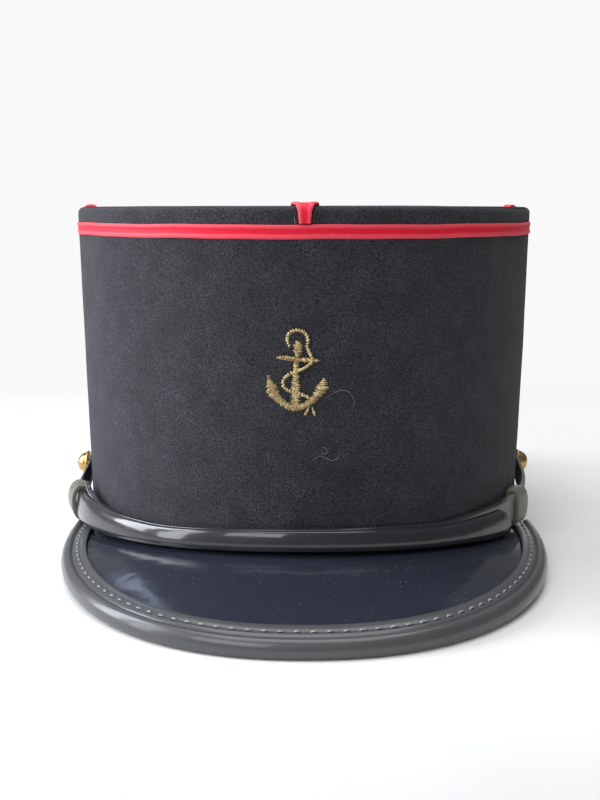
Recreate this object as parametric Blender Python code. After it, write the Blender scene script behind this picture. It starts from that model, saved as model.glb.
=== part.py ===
# Kepi cap: an oval cloth crown with a sunk top, red soutache braid, an embroidered
# anchor, a bound patent leather visor and a two-layer chin strap held by two buttons.
# Hat frame: the crown stands upright on +Z, the visor points along -Y, and height 0 is the
# front of the head opening's rim. The whole cap is then tipped to rest as it does on a table.

import math

import bmesh
import bpy
from mathutils import Matrix, Vector

MM = 0.001
GAP = 0.3 * MM  # clearance between pieces that are sewn or laid together

# Crown: an oval wall of stiffened wool cloth
CROWN_WIDTH = 166.0 * MM
CROWN_LENGTH = 206.0 * MM
CROWN_FRONT_HEIGHT = 102.0 * MM
CROWN_BACK_HEIGHT = 123.0 * MM
CROWN_DRAW_IN = 1.3 * MM  # how far the wall leans in from the top to the opening
OPENING_DIP = 4.4 * MM  # how far the opening's edge hangs below its plane at the temples
WALL = 2.6 * MM
RIM_ROUND = 2.0 * MM
TOP_SINK = 2.6 * MM  # the top lies this far below the rim
TOP_THICKNESS = 2.2 * MM

# Soutache: flat red braid with a groove between its two cords
BRAID_WIDTH = 4.1 * MM
BRAID_THICKNESS = 1.2 * MM
BRAID_GROOVE = 0.45 * MM
BRAID_SIDE = 0.5  # height of the braid's side, as a share of its thickness
BRAID_TAPER = 4.0 * MM  # beyond the rim, where a braid arm is back to its own width
BAND_DROP = 7.2 * MM  # from the rim down to the middle of the horizontal braid
KNOT_REACH = 26.0 * MM  # from the middle of the top to a lobe of the knot
KNOT_WAIST = 0.6  # share of the reach where the knot turns in between its lobes

# Anchor: raised gold embroidery on the front of the crown
ANCHOR_HEIGHT = 24.8 * MM
ANCHOR_FOOT = 43.0 * MM  # height of the anchor's lowest point
ANCHOR_SHIFT = -2.5 * MM  # sewn slightly to the wearer's right of the middle

# Visor: a patent leather plate that slopes down to a rolled, stitched binding
VISOR_REACH = 47.0 * MM  # from the crown's front to the visor's edge
VISOR_SIDE_TUCK = 1.0 * MM  # the visor's side lies this far inside the crown's widest place
VISOR_SETBACK = 58.0 * MM  # from the crown's front back to the visor's widest place
VISOR_SQUARENESS = 2.2  # exponent of the outline: 2 is an ellipse
VISOR_END_ANGLE = 91.0  # degrees each way from straight ahead
VISOR_THICKNESS = 2.0 * MM
VISOR_SEAT = 0.5 * MM  # how far the plate's upper face laps up the crown
VISOR_DROP = 10.2 * MM  # from the seat down to the middle of the binding's roll, in front
VISOR_SIDE_LIFT = 2.6 * MM  # the visor's sides stand this much higher off the table
VISOR_CAMBER = 0.03  # rise of the plate between seat and edge, as a share of its run
ROLL_DIAMETER = 5.4 * MM
BINDING_WIDTH = 9.6 * MM
BINDING_UNDER_WIDTH = 8.0 * MM
BINDING_LEATHER = 0.7 * MM
BINDING_CREASE = 0.25 * MM
BINDING_PLAY = 0.5 * MM  # between each of the binding's lips and the plate

# Chin strap: a padded outer strap over a flat inner one
STRAP_WIDTH = 10.0 * MM
STRAP_THICKNESS = 2.7 * MM
STRAP_INNER_THICKNESS = 1.5 * MM
STRAP_STAND_OFF = 2.5 * MM  # behind the keepers; elsewhere the strap lies closer
STRAP_RISE = 13.0 * MM  # from the seam up to the lower edge of a buttoned end
STRAP_INNER_RAISE = 1.9 * MM  # at most, how far the inner strap shows above the outer one
OUTER_STRAP_END = 51.5  # degrees, its free end at the wearer's left
OUTER_STRAP_LANDS = 83.5  # degrees, where it lies on the crown again before its button
INNER_STRAP_END = -63.5  # degrees, its free end at the wearer's right
KEEPER_WIDTH = 7.0 * MM
KEEPER_LEATHER = 1.2 * MM
KEEPER_LEFT_ANGLE = -70.0
KEEPER_RIGHT_ANGLE = 60.0
BUTTON_ANGLE = 88.0
BUTTON_DIAMETER = 9.6 * MM
BUTTON_FLANGE = 0.9 * MM
BUTTON_DOME = 3.7 * MM

# How finely round shapes are divided
CROWN_STEPS = 72
KNOT_STEPS = 88
VISOR_STEPS = 54
VISOR_ROWS = 5
STRAP_STEP_DEGREES = 3.0
BUTTON_STEPS = 18
WALL_ROWS = (0.35, 0.7)  # rows of the crown's outer face, as shares of its front height
KEEPER_ROWS = (-1.0, -0.33, 0.33, 1.0)  # rows of a keeper, as shares of half its width

CROWN_HALF_WIDTH = CROWN_WIDTH / 2
CROWN_HALF_LENGTH = CROWN_LENGTH / 2
VISOR_HALF_WIDTH = CROWN_HALF_WIDTH - VISOR_SIDE_TUCK
RIM_HEIGHT = CROWN_FRONT_HEIGHT
TOP_HEIGHT = RIM_HEIGHT - TOP_SINK

# How much of OPENING_DIP the opening's edge has, by degrees from the front
OPENING_DIP_ROWS = (
    {"angle": 0.0, "share": 0.0},
    {"angle": 75.0, "share": 1.0},
    {"angle": 150.0, "share": 0.0},
)

# The braid over the rim: distance along it from the band, and share of its width
BRAID_ARM_ROWS = (
    {"run": 0.0 * MM, "width": 1.0},
    {"run": 3.0 * MM, "width": 1.08},
    {"run": 5.2 * MM, "width": 1.35},
    {"run": 6.8 * MM, "width": 2.0},
    {"run": 9.5 * MM, "width": 2.0},
    {"run": 15.0 * MM, "width": 1.0},
)

# Where the four braid arms cross the rim, in degrees from the front
BRAID_ARMS = (
    {"name": "soutache_front", "angle": 0.0},
    {"name": "soutache_right", "angle": 96.0},
    {"name": "soutache_back", "angle": 180.0},
    {"name": "soutache_left", "angle": 270.0},
)

# Chin strap by angle from the front: lower edge as a share of STRAP_RISE, width as a share of
# STRAP_WIDTH, stand-off as a share of STRAP_STAND_OFF, thickness as a share of the strap's own
STRAP_ROWS = (
    {"angle": 0.0, "lower": 0.027, "width": 0.70, "off": 0.24, "thick": 1.0},
    {"angle": 30.0, "lower": 0.027, "width": 0.67, "off": 0.24, "thick": 1.0},
    {"angle": 48.0, "lower": 0.027, "width": 0.86, "off": 0.55, "thick": 1.0},
    {"angle": 56.0, "lower": 0.105, "width": 0.98, "off": 1.0, "thick": 1.0},
    {"angle": 64.0, "lower": 0.15, "width": 1.0, "off": 1.0, "thick": 0.95},
    {"angle": 70.0, "lower": 0.18, "width": 1.0, "off": 1.0, "thick": 0.88},
    {"angle": 74.0, "lower": 0.29, "width": 1.0, "off": 1.0, "thick": 0.80},
    {"angle": 78.0, "lower": 0.49, "width": 0.95, "off": 0.80, "thick": 0.65},
    {"angle": 83.5, "lower": 0.815, "width": 0.90, "off": 0.36, "thick": 0.60},
    {"angle": 88.0, "lower": 0.98, "width": 0.88, "off": 0.36, "thick": 0.60},
    {"angle": 94.0, "lower": 1.02, "width": 0.80, "off": 0.36, "thick": 0.60},
)

# How much of STRAP_INNER_RAISE the inner strap has, by degrees from the front
INNER_RAISE_ROWS = (
    {"angle": 28.0, "share": 0.35},
    {"angle": 46.0, "share": 1.0},
    {"angle": 64.0, "share": 1.0},
    {"angle": 84.0, "share": 0.35},
)
STRAP_TIP_ANGLE = 93.0
STRAP_TIP_ROUND = 3.0  # degrees over which a strap's end is rounded
STRAP_TIP_STOPS = (0.15, 0.4)  # extra rows there, as shares of those degrees
STRAP_TIP_WIDTH = 0.35  # share of a strap's width that is left at its very end

# Sections of the straps: up as a share of half the width, out as a share of the thickness
PADDED_SIDE = 0.3  # the padded strap's edges are this share of its thickness
FLAT_SECTION = (
    {"up": -1.0, "out": 0.0},
    {"up": -1.0, "out": 0.7},
    {"up": -0.9, "out": 1.0},
    {"up": 0.9, "out": 1.0},
    {"up": 1.0, "out": 0.7},
    {"up": 1.0, "out": 0.0},
)

# The button's flange: radius as a share of the button's, height as a share of the flange's
BUTTON_EDGE = (
    {"radius": 0.0, "height": 0.0},
    {"radius": 0.90, "height": 0.0},
    {"radius": 1.0, "height": 0.4},
    {"radius": 0.94, "height": 1.0},
)
DOME_RADIUS = 0.9  # of the dome, as a share of the button's

# Anchor parts: across from the middle, up from the foot, and width, as shares of ANCHOR_HEIGHT
ANCHOR_ARMS = (
    {"across": -0.324, "up": 0.430, "width": 0.020},
    {"across": -0.308, "up": 0.346, "width": 0.090},
    {"across": -0.276, "up": 0.248, "width": 0.165},
    {"across": -0.220, "up": 0.168, "width": 0.110},
    {"across": -0.126, "up": 0.089, "width": 0.092},
    {"across": -0.014, "up": 0.050, "width": 0.100},
    {"across": 0.098, "up": 0.082, "width": 0.088},
    {"across": 0.182, "up": 0.140, "width": 0.088},
    {"across": 0.257, "up": 0.220, "width": 0.120},
    {"across": 0.304, "up": 0.290, "width": 0.150},
    {"across": 0.321, "up": 0.355, "width": 0.095},
    {"across": 0.322, "up": 0.411, "width": 0.020},
)
ANCHOR_SHANK = (
    {"across": -0.014, "up": 0.085, "width": 0.122},
    {"across": -0.007, "up": 0.196, "width": 0.117},
    {"across": -0.005, "up": 0.383, "width": 0.094},
    {"across": 0.0, "up": 0.570, "width": 0.066},
    {"across": 0.012, "up": 0.668, "width": 0.062},
    {"across": 0.019, "up": 0.705, "width": 0.105},
    {"across": 0.021, "up": 0.757, "width": 0.130},
    {"across": 0.021, "up": 0.813, "width": 0.100},
    {"across": 0.022, "up": 0.850, "width": 0.040},
)
ANCHOR_STOCK = (
    {"across": -0.215, "up": 0.650, "width": 0.026},
    {"across": -0.164, "up": 0.647, "width": 0.058},
    {"across": 0.0, "up": 0.631, "width": 0.062},
    {"across": 0.154, "up": 0.621, "width": 0.062},
    {"across": 0.234, "up": 0.617, "width": 0.050},
    {"across": 0.264, "up": 0.615, "width": 0.024},
)
ANCHOR_ROPE_WIDTH = 0.048
ARMS_RELIEF = 0.036  # how far the strokes stand up, as shares of ANCHOR_HEIGHT
SHANK_RELIEF = 0.039
STOCK_RELIEF = 0.033
ROPE_RELIEF = 0.047
CORD_DOME = (-1.0, -0.55, 0.0, 0.55, 1.0)  # where a stroke's section has its points, across it
CORD_FALL = 0.7  # how much lower its sides are than its middle
UNION_MERGE = 0.0042  # points of the united strokes closer than this are one
ANCHOR_ROPE = (
    {"across": -0.079, "up": 0.794},
    {"across": -0.100, "up": 0.850},
    {"across": -0.096, "up": 0.912},
    {"across": -0.051, "up": 0.957},
    {"across": 0.023, "up": 0.975},
    {"across": 0.089, "up": 0.950},
    {"across": 0.128, "up": 0.897},
    {"across": 0.136, "up": 0.841},
    {"across": 0.124, "up": 0.785},
    {"across": 0.145, "up": 0.729},
    {"across": 0.172, "up": 0.673},
    {"across": 0.186, "up": 0.620},
    {"across": 0.145, "up": 0.566},
    {"across": 0.061, "up": 0.512},
    {"across": -0.033, "up": 0.482},
    {"across": -0.107, "up": 0.439},
    {"across": -0.150, "up": 0.383},
    {"across": -0.152, "up": 0.325},
    {"across": -0.112, "up": 0.276},
    {"across": -0.051, "up": 0.252},
    {"across": 0.023, "up": 0.234},
    {"across": 0.079, "up": 0.210},
    {"across": 0.140, "up": 0.185},
)


def clear_scene():
    for thing in list(bpy.data.objects):
        bpy.data.objects.remove(thing, do_unlink=True)


def finish(name, hex_colour, roughness, metallic=0.0):
    """A plain Principled BSDF of one colour."""
    material = bpy.data.materials.new(name)
    material.use_nodes = True
    shader = material.node_tree.nodes["Principled BSDF"]
    channels = [int(hex_colour[i:i + 2], 16) / 255 for i in (0, 2, 4)]
    linear = [c / 12.92 if c <= 0.04045 else ((c + 0.055) / 1.055) ** 2.4 for c in channels]
    shader.inputs["Base Color"].default_value = (*linear, 1.0)
    shader.inputs["Roughness"].default_value = roughness
    shader.inputs["Metallic"].default_value = metallic
    return material


def add_piece(name, shape, material, frame):
    """Puts a finished bmesh in the scene as one object of the hat frame."""
    bmesh.ops.recalc_face_normals(shape, faces=shape.faces)
    mesh = bpy.data.meshes.new(name)
    shape.to_mesh(mesh)
    shape.free()
    mesh.materials.append(material)
    mesh.shade_smooth()
    mesh.set_sharp_from_angle(angle=math.radians(40))
    piece = bpy.data.objects.new(name, mesh)
    piece.parent = frame
    bpy.context.collection.objects.link(piece)
    return piece


def skin(rings, closed):
    """Joins rings of points into one solid, capped at both ends unless it closes on itself."""
    shape = bmesh.new()
    loops = [[shape.verts.new(point) for point in ring] for ring in rings]
    pairs = list(zip(loops, loops[1:]))
    if closed:
        pairs.append((loops[-1], loops[0]))
    for first, second in pairs:
        for i in range(len(first)):
            j = (i + 1) % len(first)
            shape.faces.new((first[i], first[j], second[j], second[i]))
    if not closed:
        shape.faces.new(loops[0])
        shape.faces.new(loops[-1])
    return shape


def read_row(rows, key, place, column):
    """Reads a column of a table at a place between its rows, eased so that it stays smooth."""
    if place <= rows[0][key]:
        return rows[0][column]
    for low, high in zip(rows, rows[1:]):
        if place <= high[key]:
            share = (place - low[key]) / (high[key] - low[key])
            eased = share * share * (3 - 2 * share)
            return low[column] + eased * (high[column] - low[column])
    return rows[-1][column]


def opening_height(x, y):
    """Height of the opening's edge, which drops from front to back and hangs at the temples."""
    fall = (CROWN_BACK_HEIGHT - CROWN_FRONT_HEIGHT) / CROWN_LENGTH
    turned = abs(math.degrees(math.atan2(x / CROWN_HALF_WIDTH, -y / CROWN_HALF_LENGTH)))
    dip = OPENING_DIP * read_row(OPENING_DIP_ROWS, "angle", turned, "share")
    return -fall * (y + CROWN_HALF_LENGTH) - dip


def oval_normal(angle):
    """Outward direction of the crown's oval at an angle from the front."""
    return Vector((math.sin(angle) / CROWN_HALF_WIDTH, -math.cos(angle) / CROWN_HALF_LENGTH, 0)).normalized()


def crown_point(angle, height, off=0.0):
    """A point at a height, off the crown's outer face by a distance (inside it if negative)."""
    lean = CROWN_DRAW_IN * (RIM_HEIGHT - height) / RIM_HEIGHT
    oval = Vector((CROWN_HALF_WIDTH * math.sin(angle), -CROWN_HALF_LENGTH * math.cos(angle), height))
    return oval + oval_normal(angle) * (off - lean)


def opening_point(angle, off):
    """A point at the height of the opening's edge."""
    point = crown_point(angle, 0.0, off)
    return crown_point(angle, opening_height(point.x, point.y), off)


def turn(steps):
    return [2 * math.pi * i / steps for i in range(steps)]


def make_crown_wall(frame, cloth):
    """The oval wall: straight outside, rounded over at the rim, cut by the head opening."""
    corner = [math.radians(a) for a in range(0, 91, 30)]
    rounding = [(-RIM_ROUND * (1 - math.cos(a)), RIM_HEIGHT - RIM_ROUND * (1 - math.sin(a))) for a in corner]
    inner_round = WALL - RIM_ROUND
    rings = []
    for angle in turn(CROWN_STEPS):
        ring = [opening_point(angle, 0.0)]
        ring += [crown_point(angle, RIM_HEIGHT * share) for share in WALL_ROWS]
        ring += [crown_point(angle, height, off) for off, height in rounding]
        ring.append(crown_point(angle, RIM_HEIGHT - inner_round, -WALL))
        ring.append(crown_point(angle, RIM_HEIGHT / 2, -WALL))
        ring.append(opening_point(angle, -WALL))
        rings.append(ring)
    return add_piece("crown_wall", skin(rings, True), cloth, frame)


def make_crown_top(frame, cloth):
    """The flat top, set into the wall below the rim."""
    levels = (TOP_HEIGHT - TOP_THICKNESS, TOP_HEIGHT)
    rings = [[crown_point(angle, level, -WALL - GAP) for angle in turn(CROWN_STEPS)] for level in levels]
    return add_piece("crown_top", skin(rings, False), cloth, frame)


def braid_section(width):
    """Soutache in section: a flat back and two cords with a groove, as (across, out) pairs."""
    half = width / 2
    groove = BRAID_THICKNESS - BRAID_GROOVE
    side = BRAID_SIDE * BRAID_THICKNESS
    return [(-half, 0), (-half, side), (-half / 2, BRAID_THICKNESS), (0, groove),
            (half / 2, BRAID_THICKNESS), (half, side), (half, 0)]


def make_soutache_band(frame, braid):
    """The horizontal braid, sewn round the crown just under the rim."""
    rings = []
    for angle in turn(CROWN_STEPS):
        middle = RIM_HEIGHT - BAND_DROP
        ring = [crown_point(angle, middle + across, GAP + out) for across, out in braid_section(BRAID_WIDTH)]
        rings.append(ring)
    return add_piece("soutache_band", skin(rings, True), braid, frame)


def arm_path(angle):
    """Path of a braid arm's back, up the wall, over the rim, down to the top and in to the knot."""
    start = RIM_HEIGHT - BAND_DROP + BRAID_WIDTH / 2 + GAP
    over = RIM_ROUND + GAP
    path = [(GAP, start), (GAP, (start + RIM_HEIGHT - RIM_ROUND) / 2)]
    for degrees in range(0, 91, 18):
        a = math.radians(degrees)
        path.append((-RIM_ROUND + over * math.cos(a), RIM_HEIGHT - RIM_ROUND + over * math.sin(a)))
    foot = TOP_HEIGHT + GAP
    bend = BRAID_THICKNESS + GAP
    shoulder = -WALL - GAP
    path += [(shoulder + GAP / 2, RIM_HEIGHT + GAP / 2), (shoulder, RIM_HEIGHT - GAP)]
    for degrees in range(0, 91, 30):
        a = math.radians(degrees)
        path.append((shoulder - bend * (1 - math.cos(a)), foot + bend * (1 - math.sin(a))))
    middle = crown_point(angle, TOP_HEIGHT).xy.length
    begin = shoulder - bend
    end = -(middle - KNOT_REACH - BRAID_WIDTH / 2 - GAP)
    path += [(begin - BRAID_TAPER, foot), ((begin + end) / 2, foot), (end, foot)]
    return path


def make_soutache_arm(frame, braid, name, degrees):
    """One braid arm over the rim."""
    angle = math.radians(degrees)
    outward = oval_normal(angle)
    across = Vector((-outward.y, outward.x, 0))
    path = arm_path(angle)
    spots = [crown_point(angle, height, off) for off, height in path]
    lengths = [0.0]
    for first, second in zip(spots, spots[1:]):
        lengths.append(lengths[-1] + (second - first).length)
    rings = []
    for i, spot in enumerate(spots):
        before = spots[max(i - 1, 0)]
        after = spots[min(i + 1, len(spots) - 1)]
        out = across.cross((after - before).normalized())
        width = BRAID_WIDTH * read_row(BRAID_ARM_ROWS, "run", lengths[i], "width")
        rings.append([spot + across * side + out * lift for side, lift in braid_section(width)])
    return add_piece(name, skin(rings, False), braid, frame)


def make_soutache_knot(frame, braid):
    """The four-lobed braid knot on the top."""
    middle = (1 + KNOT_WAIST) / 2
    swing = (1 - KNOT_WAIST) / 2

    def place(angle):
        reach = KNOT_REACH * (middle + swing * math.cos(4 * angle))
        return Vector((reach * math.sin(angle), -reach * math.cos(angle), TOP_HEIGHT + GAP))

    nudge = math.pi / KNOT_STEPS / 4
    rings = []
    for angle in turn(KNOT_STEPS):
        along = (place(angle + nudge) - place(angle - nudge)).normalized()
        side = Vector((along.y, -along.x, 0))
        spot = place(angle)
        section = braid_section(BRAID_WIDTH)
        rings.append([spot + side * across + Vector((0, 0, lift)) for across, lift in section])
    return add_piece("soutache_knot", skin(rings, True), braid, frame)


def smooth_rows(rows, keys, parts):
    """Points of a smooth curve through the rows, with the named columns."""
    values = [[row[key] for key in keys] for row in rows]
    curve = []
    for i in range(len(values) - 1):
        before = values[max(i - 1, 0)]
        after = values[min(i + 2, len(values) - 1)]
        for step in range(parts):
            t = step / parts
            point = []
            for p0, p1, p2, p3 in zip(before, values[i], values[i + 1], after):
                point.append(0.5 * (2 * p1 + (p2 - p0) * t + (2 * p0 - 5 * p1 + 4 * p2 - p3) * t ** 2
                                    + (3 * p1 - p0 - 3 * p2 + p3) * t ** 3))
            curve.append(point)
    curve.append(values[-1])
    return curve


def make_cord(name, curve, relief):
    """A domed strip along a flat curve of (across, up, width), as a loose object to be joined."""
    rings = []
    for i, (across, up, width) in enumerate(curve):
        before = curve[max(i - 1, 0)]
        after = curve[min(i + 1, len(curve) - 1)]
        along = Vector((after[0] - before[0], after[1] - before[1])).normalized()
        side = Vector((along.y, -along.x))
        ring = []
        for share in CORD_DOME:
            spot = Vector((across, up)) + side * (share * width / 2)
            ring.append(Vector((*spot, relief * (1 - CORD_FALL * share * share))))
        for share in (1.0, -1.0):
            spot = Vector((across, up)) + side * (share * width / 2)
            ring.append(Vector((*spot, 0.0)))
        rings.append(ring)
    shape = skin(rings, False)
    bmesh.ops.recalc_face_normals(shape, faces=shape.faces)
    mesh = bpy.data.meshes.new(name)
    shape.to_mesh(mesh)
    shape.free()
    cord = bpy.data.objects.new(name, mesh)
    bpy.context.collection.objects.link(cord)
    return cord


def make_anchor(frame, gold):
    """The embroidered anchor with its rope, united flat at a height of 1 and then laid on the crown."""
    keys = ("across", "up", "width")
    body = make_cord("anchor_body", smooth_rows(ANCHOR_ARMS, keys, 2), ARMS_RELIEF)
    rope_rows = [{**row, "width": ANCHOR_ROPE_WIDTH} for row in ANCHOR_ROPE]
    others = [
        make_cord("anchor_shank", smooth_rows(ANCHOR_SHANK, keys, 1), SHANK_RELIEF),
        make_cord("anchor_stock", smooth_rows(ANCHOR_STOCK, keys, 1), STOCK_RELIEF),
        make_cord("anchor_rope", smooth_rows(rope_rows, keys, 2), ROPE_RELIEF),
    ]
    for other in others:
        union = body.modifiers.new(other.name, "BOOLEAN")
        union.operation = "UNION"
        union.solver = "EXACT"
        union.object = other
    graph = bpy.context.evaluated_depsgraph_get()
    shape = bmesh.new()
    shape.from_mesh(body.evaluated_get(graph).to_mesh())
    bmesh.ops.remove_doubles(shape, verts=shape.verts, dist=UNION_MERGE)
    bmesh.ops.triangulate(shape, faces=shape.faces)
    bmesh.ops.dissolve_degenerate(shape, edges=shape.edges, dist=UNION_MERGE)
    bmesh.ops.triangulate(shape, faces=shape.faces)
    for vert in shape.verts:
        side, up, lift = vert.co * ANCHOR_HEIGHT
        angle = math.asin((ANCHOR_SHIFT + side) / CROWN_HALF_WIDTH)
        vert.co = crown_point(angle, ANCHOR_FOOT + up, GAP + lift)
    for part in (body, *others):
        bpy.data.objects.remove(part, do_unlink=True)
    return add_piece("anchor_emblem", shape, gold, frame)


def visor_middle():
    """The point that the visor's outline is drawn about."""
    return Vector((0, -CROWN_HALF_LENGTH + VISOR_SETBACK, 0))


def visor_edge_reach(angle):
    """Distance from the visor's middle point to its outline."""
    across = abs(math.sin(angle)) / VISOR_HALF_WIDTH
    ahead = abs(math.cos(angle)) / (VISOR_SETBACK + VISOR_REACH)
    return (across ** VISOR_SQUARENESS + ahead ** VISOR_SQUARENESS) ** (-1 / VISOR_SQUARENESS)


def visor_seat_reach(angle):
    """Distance from the visor's middle point to the crown's outer face at the opening."""
    draw = CROWN_DRAW_IN - GAP
    a = CROWN_HALF_WIDTH - draw
    b = CROWN_HALF_LENGTH - draw
    sin, cos = math.sin(angle), math.cos(angle)
    middle = visor_middle().y
    square = sin ** 2 / a ** 2 + cos ** 2 / b ** 2
    half = -middle * cos / b ** 2
    rest = middle ** 2 / b ** 2 - 1
    return (-half + math.sqrt(half ** 2 - square * rest)) / square


def rest_line():
    """Slope and height of the table in the hat frame, under the visor's edge and the crown's back."""
    roll = ROLL_DIAMETER / 2
    front = Vector((-CROWN_HALF_LENGTH - VISOR_REACH + roll, VISOR_SEAT - VISOR_DROP))
    back = opening_point(math.pi, 0.0)
    apart = Vector((back.y, back.z)) - front
    slope = math.atan2(apart.y, apart.x) + math.asin(roll / apart.length)
    height = back.z - math.tan(slope) * back.y
    return slope, height


def visor_edge_height(angle):
    """Height of the middle of the binding's roll."""
    slope, height = rest_line()
    y = visor_middle().y - visor_edge_reach(angle) * math.cos(angle)
    table = height + math.tan(slope) * y
    return table + ROLL_DIAMETER / 2 / math.cos(slope) + VISOR_SIDE_LIFT * math.sin(angle) ** 2


def visor_surface(angle, inset):
    """Middle surface of the visor at a distance in from its outline."""
    ray = Vector((math.sin(angle), -math.cos(angle), 0))
    outer = visor_edge_reach(angle)
    seat = visor_seat_reach(angle)
    run = outer - ROLL_DIAMETER / 2 - seat
    reach = outer - inset
    share = (reach - seat) / run
    inner = visor_middle() + ray * seat
    start = opening_height(inner.x, inner.y) + VISOR_SEAT - VISOR_THICKNESS / 2
    end = visor_edge_height(angle)
    height = start + (end - start) * share + VISOR_CAMBER * run * 4 * share * (1 - share)
    point = visor_middle() + ray * reach
    point.z = height
    return point


def visor_angles():
    limit = math.radians(VISOR_END_ANGLE)
    return [-limit + 2 * limit * i / VISOR_STEPS for i in range(VISOR_STEPS + 1)]


def make_visor(frame, patent):
    """The visor's plate, from its seat on the crown into the binding."""
    rings = []
    edge = ROLL_DIAMETER / 2
    half = Vector((0, 0, VISOR_THICKNESS / 2))
    for angle in visor_angles():
        run = visor_edge_reach(angle) - visor_seat_reach(angle) - edge
        insets = [edge + run * i / VISOR_ROWS for i in range(VISOR_ROWS + 1)]
        middle = [visor_surface(angle, inset) for inset in insets]
        rings.append([point + half for point in middle] + [point - half for point in reversed(middle)])
    return add_piece("visor", skin(rings, False), patent, frame)


def binding_section():
    """The binding in section as (inset from the outline, height) pairs, open towards the plate."""
    roll = ROLL_DIAMETER / 2
    slot = VISOR_THICKNESS / 2 + BINDING_PLAY
    lip = slot + BINDING_LEATHER
    crease = lip - BINDING_CREASE
    fold = ROLL_DIAMETER - BINDING_CREASE
    bottom = roll - GAP
    section = [(roll - roll * math.cos(math.radians(a)), roll * math.sin(math.radians(a)))
               for a in range(100, -101, -20)]
    section += [(fold, -crease), (fold + BINDING_LEATHER, -lip), (BINDING_UNDER_WIDTH, -lip),
                (BINDING_UNDER_WIDTH, -slot), (bottom, -slot), (bottom, slot),
                (BINDING_WIDTH, slot), (BINDING_WIDTH, lip), (fold + BINDING_LEATHER, lip), (fold, crease)]
    return section


def binding_inset(angle, inset):
    """Draws the binding's lips in where the visor is narrow, at its two ends."""
    room = visor_edge_reach(angle) - visor_seat_reach(angle) - GAP / 2
    fold = ROLL_DIAMETER
    if inset <= fold:
        return inset
    return fold + (inset - fold) * min(1.0, (room - fold) / (BINDING_WIDTH - fold))


def make_visor_binding(frame, patent):
    """The folded leather binding with its rolled edge."""
    rings = []
    for angle in visor_angles():
        ring = []
        for inset, lift in binding_section():
            point = visor_surface(angle, binding_inset(angle, inset))
            ring.append(point + Vector((0, 0, lift)))
        rings.append(ring)
    return add_piece("visor_binding", skin(rings, False), patent, frame)


def strap_value(column, degrees):
    return read_row(STRAP_ROWS, "angle", abs(degrees), column)


def inner_strap_back(degrees):
    """Distance of the inner strap's back from the crown."""
    return STRAP_STAND_OFF * strap_value("off", degrees)


def outer_strap_back(degrees):
    """Distance of the outer strap's back: over the inner strap, then down to its own button."""
    over = inner_strap_back(degrees) + STRAP_INNER_THICKNESS + GAP
    if degrees > KEEPER_LEFT_ANGLE:
        return over
    share = min((KEEPER_LEFT_ANGLE - degrees) / (KEEPER_LEFT_ANGLE + OUTER_STRAP_LANDS), 1.0)
    eased = share * share * (3 - 2 * share)
    return over + (inner_strap_back(degrees) - over) * eased


def strap_lower(degrees):
    return STRAP_RISE * strap_value("lower", degrees) + VISOR_SEAT


def outer_raise(degrees):
    """The outer strap sets the place of both, so it isn't raised."""
    return 0.0


def inner_raise(degrees):
    """How far the inner strap is raised above the outer strap's place."""
    return STRAP_INNER_RAISE * read_row(INNER_RAISE_ROWS, "angle", degrees, "share")


def strap_spot(degrees, above, off):
    """A point above the seam, off the crown."""
    angle = math.radians(degrees)
    return crown_point(angle, opening_point(angle, off).z + above, off)


def tip_share(degrees, start, end):
    """Narrows a strap towards its two rounded ends."""
    nearest = min(degrees - start, end - degrees)
    share = min(max(nearest / STRAP_TIP_ROUND, 0.0), 1.0)
    return STRAP_TIP_WIDTH + (1 - STRAP_TIP_WIDTH) * math.sqrt(1 - (1 - share) ** 2)


def strap_stops(start, end):
    """Angles along a strap, closer together at its rounded ends."""
    count = round((end - start) / STRAP_STEP_DEGREES)
    even = [start + (end - start) * i / count for i in range(count + 1)]
    near = [share * STRAP_TIP_ROUND for share in STRAP_TIP_STOPS]
    extra = [start + step for step in near] + [end - step for step in near]
    return sorted(even + extra)


def make_strap(frame, patent, name, start, end, back, thickness, section, raise_by):
    """A strap along the crown between two angles."""
    rings = []
    for degrees in strap_stops(start, end):
        width = STRAP_WIDTH * strap_value("width", degrees)
        middle = strap_lower(degrees) + raise_by(degrees) + width / 2
        half = width / 2 * tip_share(degrees, start, end)
        thick = thickness * strap_value("thick", degrees)
        off = back(degrees)
        rings.append([strap_spot(degrees, middle + half * up, off + thick * out) for up, out in section])
    return add_piece(name, skin(rings, False), patent, frame)


def make_straps(frame, patent):
    """The padded outer strap and the flat inner one behind it."""
    turns = [math.radians(a) for a in range(0, 181, 30)]
    dome = [(-math.cos(a), PADDED_SIDE + (1 - PADDED_SIDE) * math.sin(a)) for a in turns]
    padded = [(-1.0, 0.0)] + dome + [(1.0, 0.0)]
    flat = [(row["up"], row["out"]) for row in FLAT_SECTION]
    make_strap(frame, patent, "chin_strap_outer", -STRAP_TIP_ANGLE, OUTER_STRAP_END,
               outer_strap_back, STRAP_THICKNESS, padded, outer_raise)
    make_strap(frame, patent, "chin_strap_inner", INNER_STRAP_END, STRAP_TIP_ANGLE,
               inner_strap_back, STRAP_INNER_THICKNESS, flat, inner_raise)


def keeper_loop(low, high, back, front, cut):
    """A rectangle with cut corners, as (above the seam, off the crown) pairs."""
    return [(low + cut, back), (high - cut, back), (high, back + cut), (high, front - cut),
            (high - cut, front), (low + cut, front), (low, front - cut), (low, back + cut)]


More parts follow.
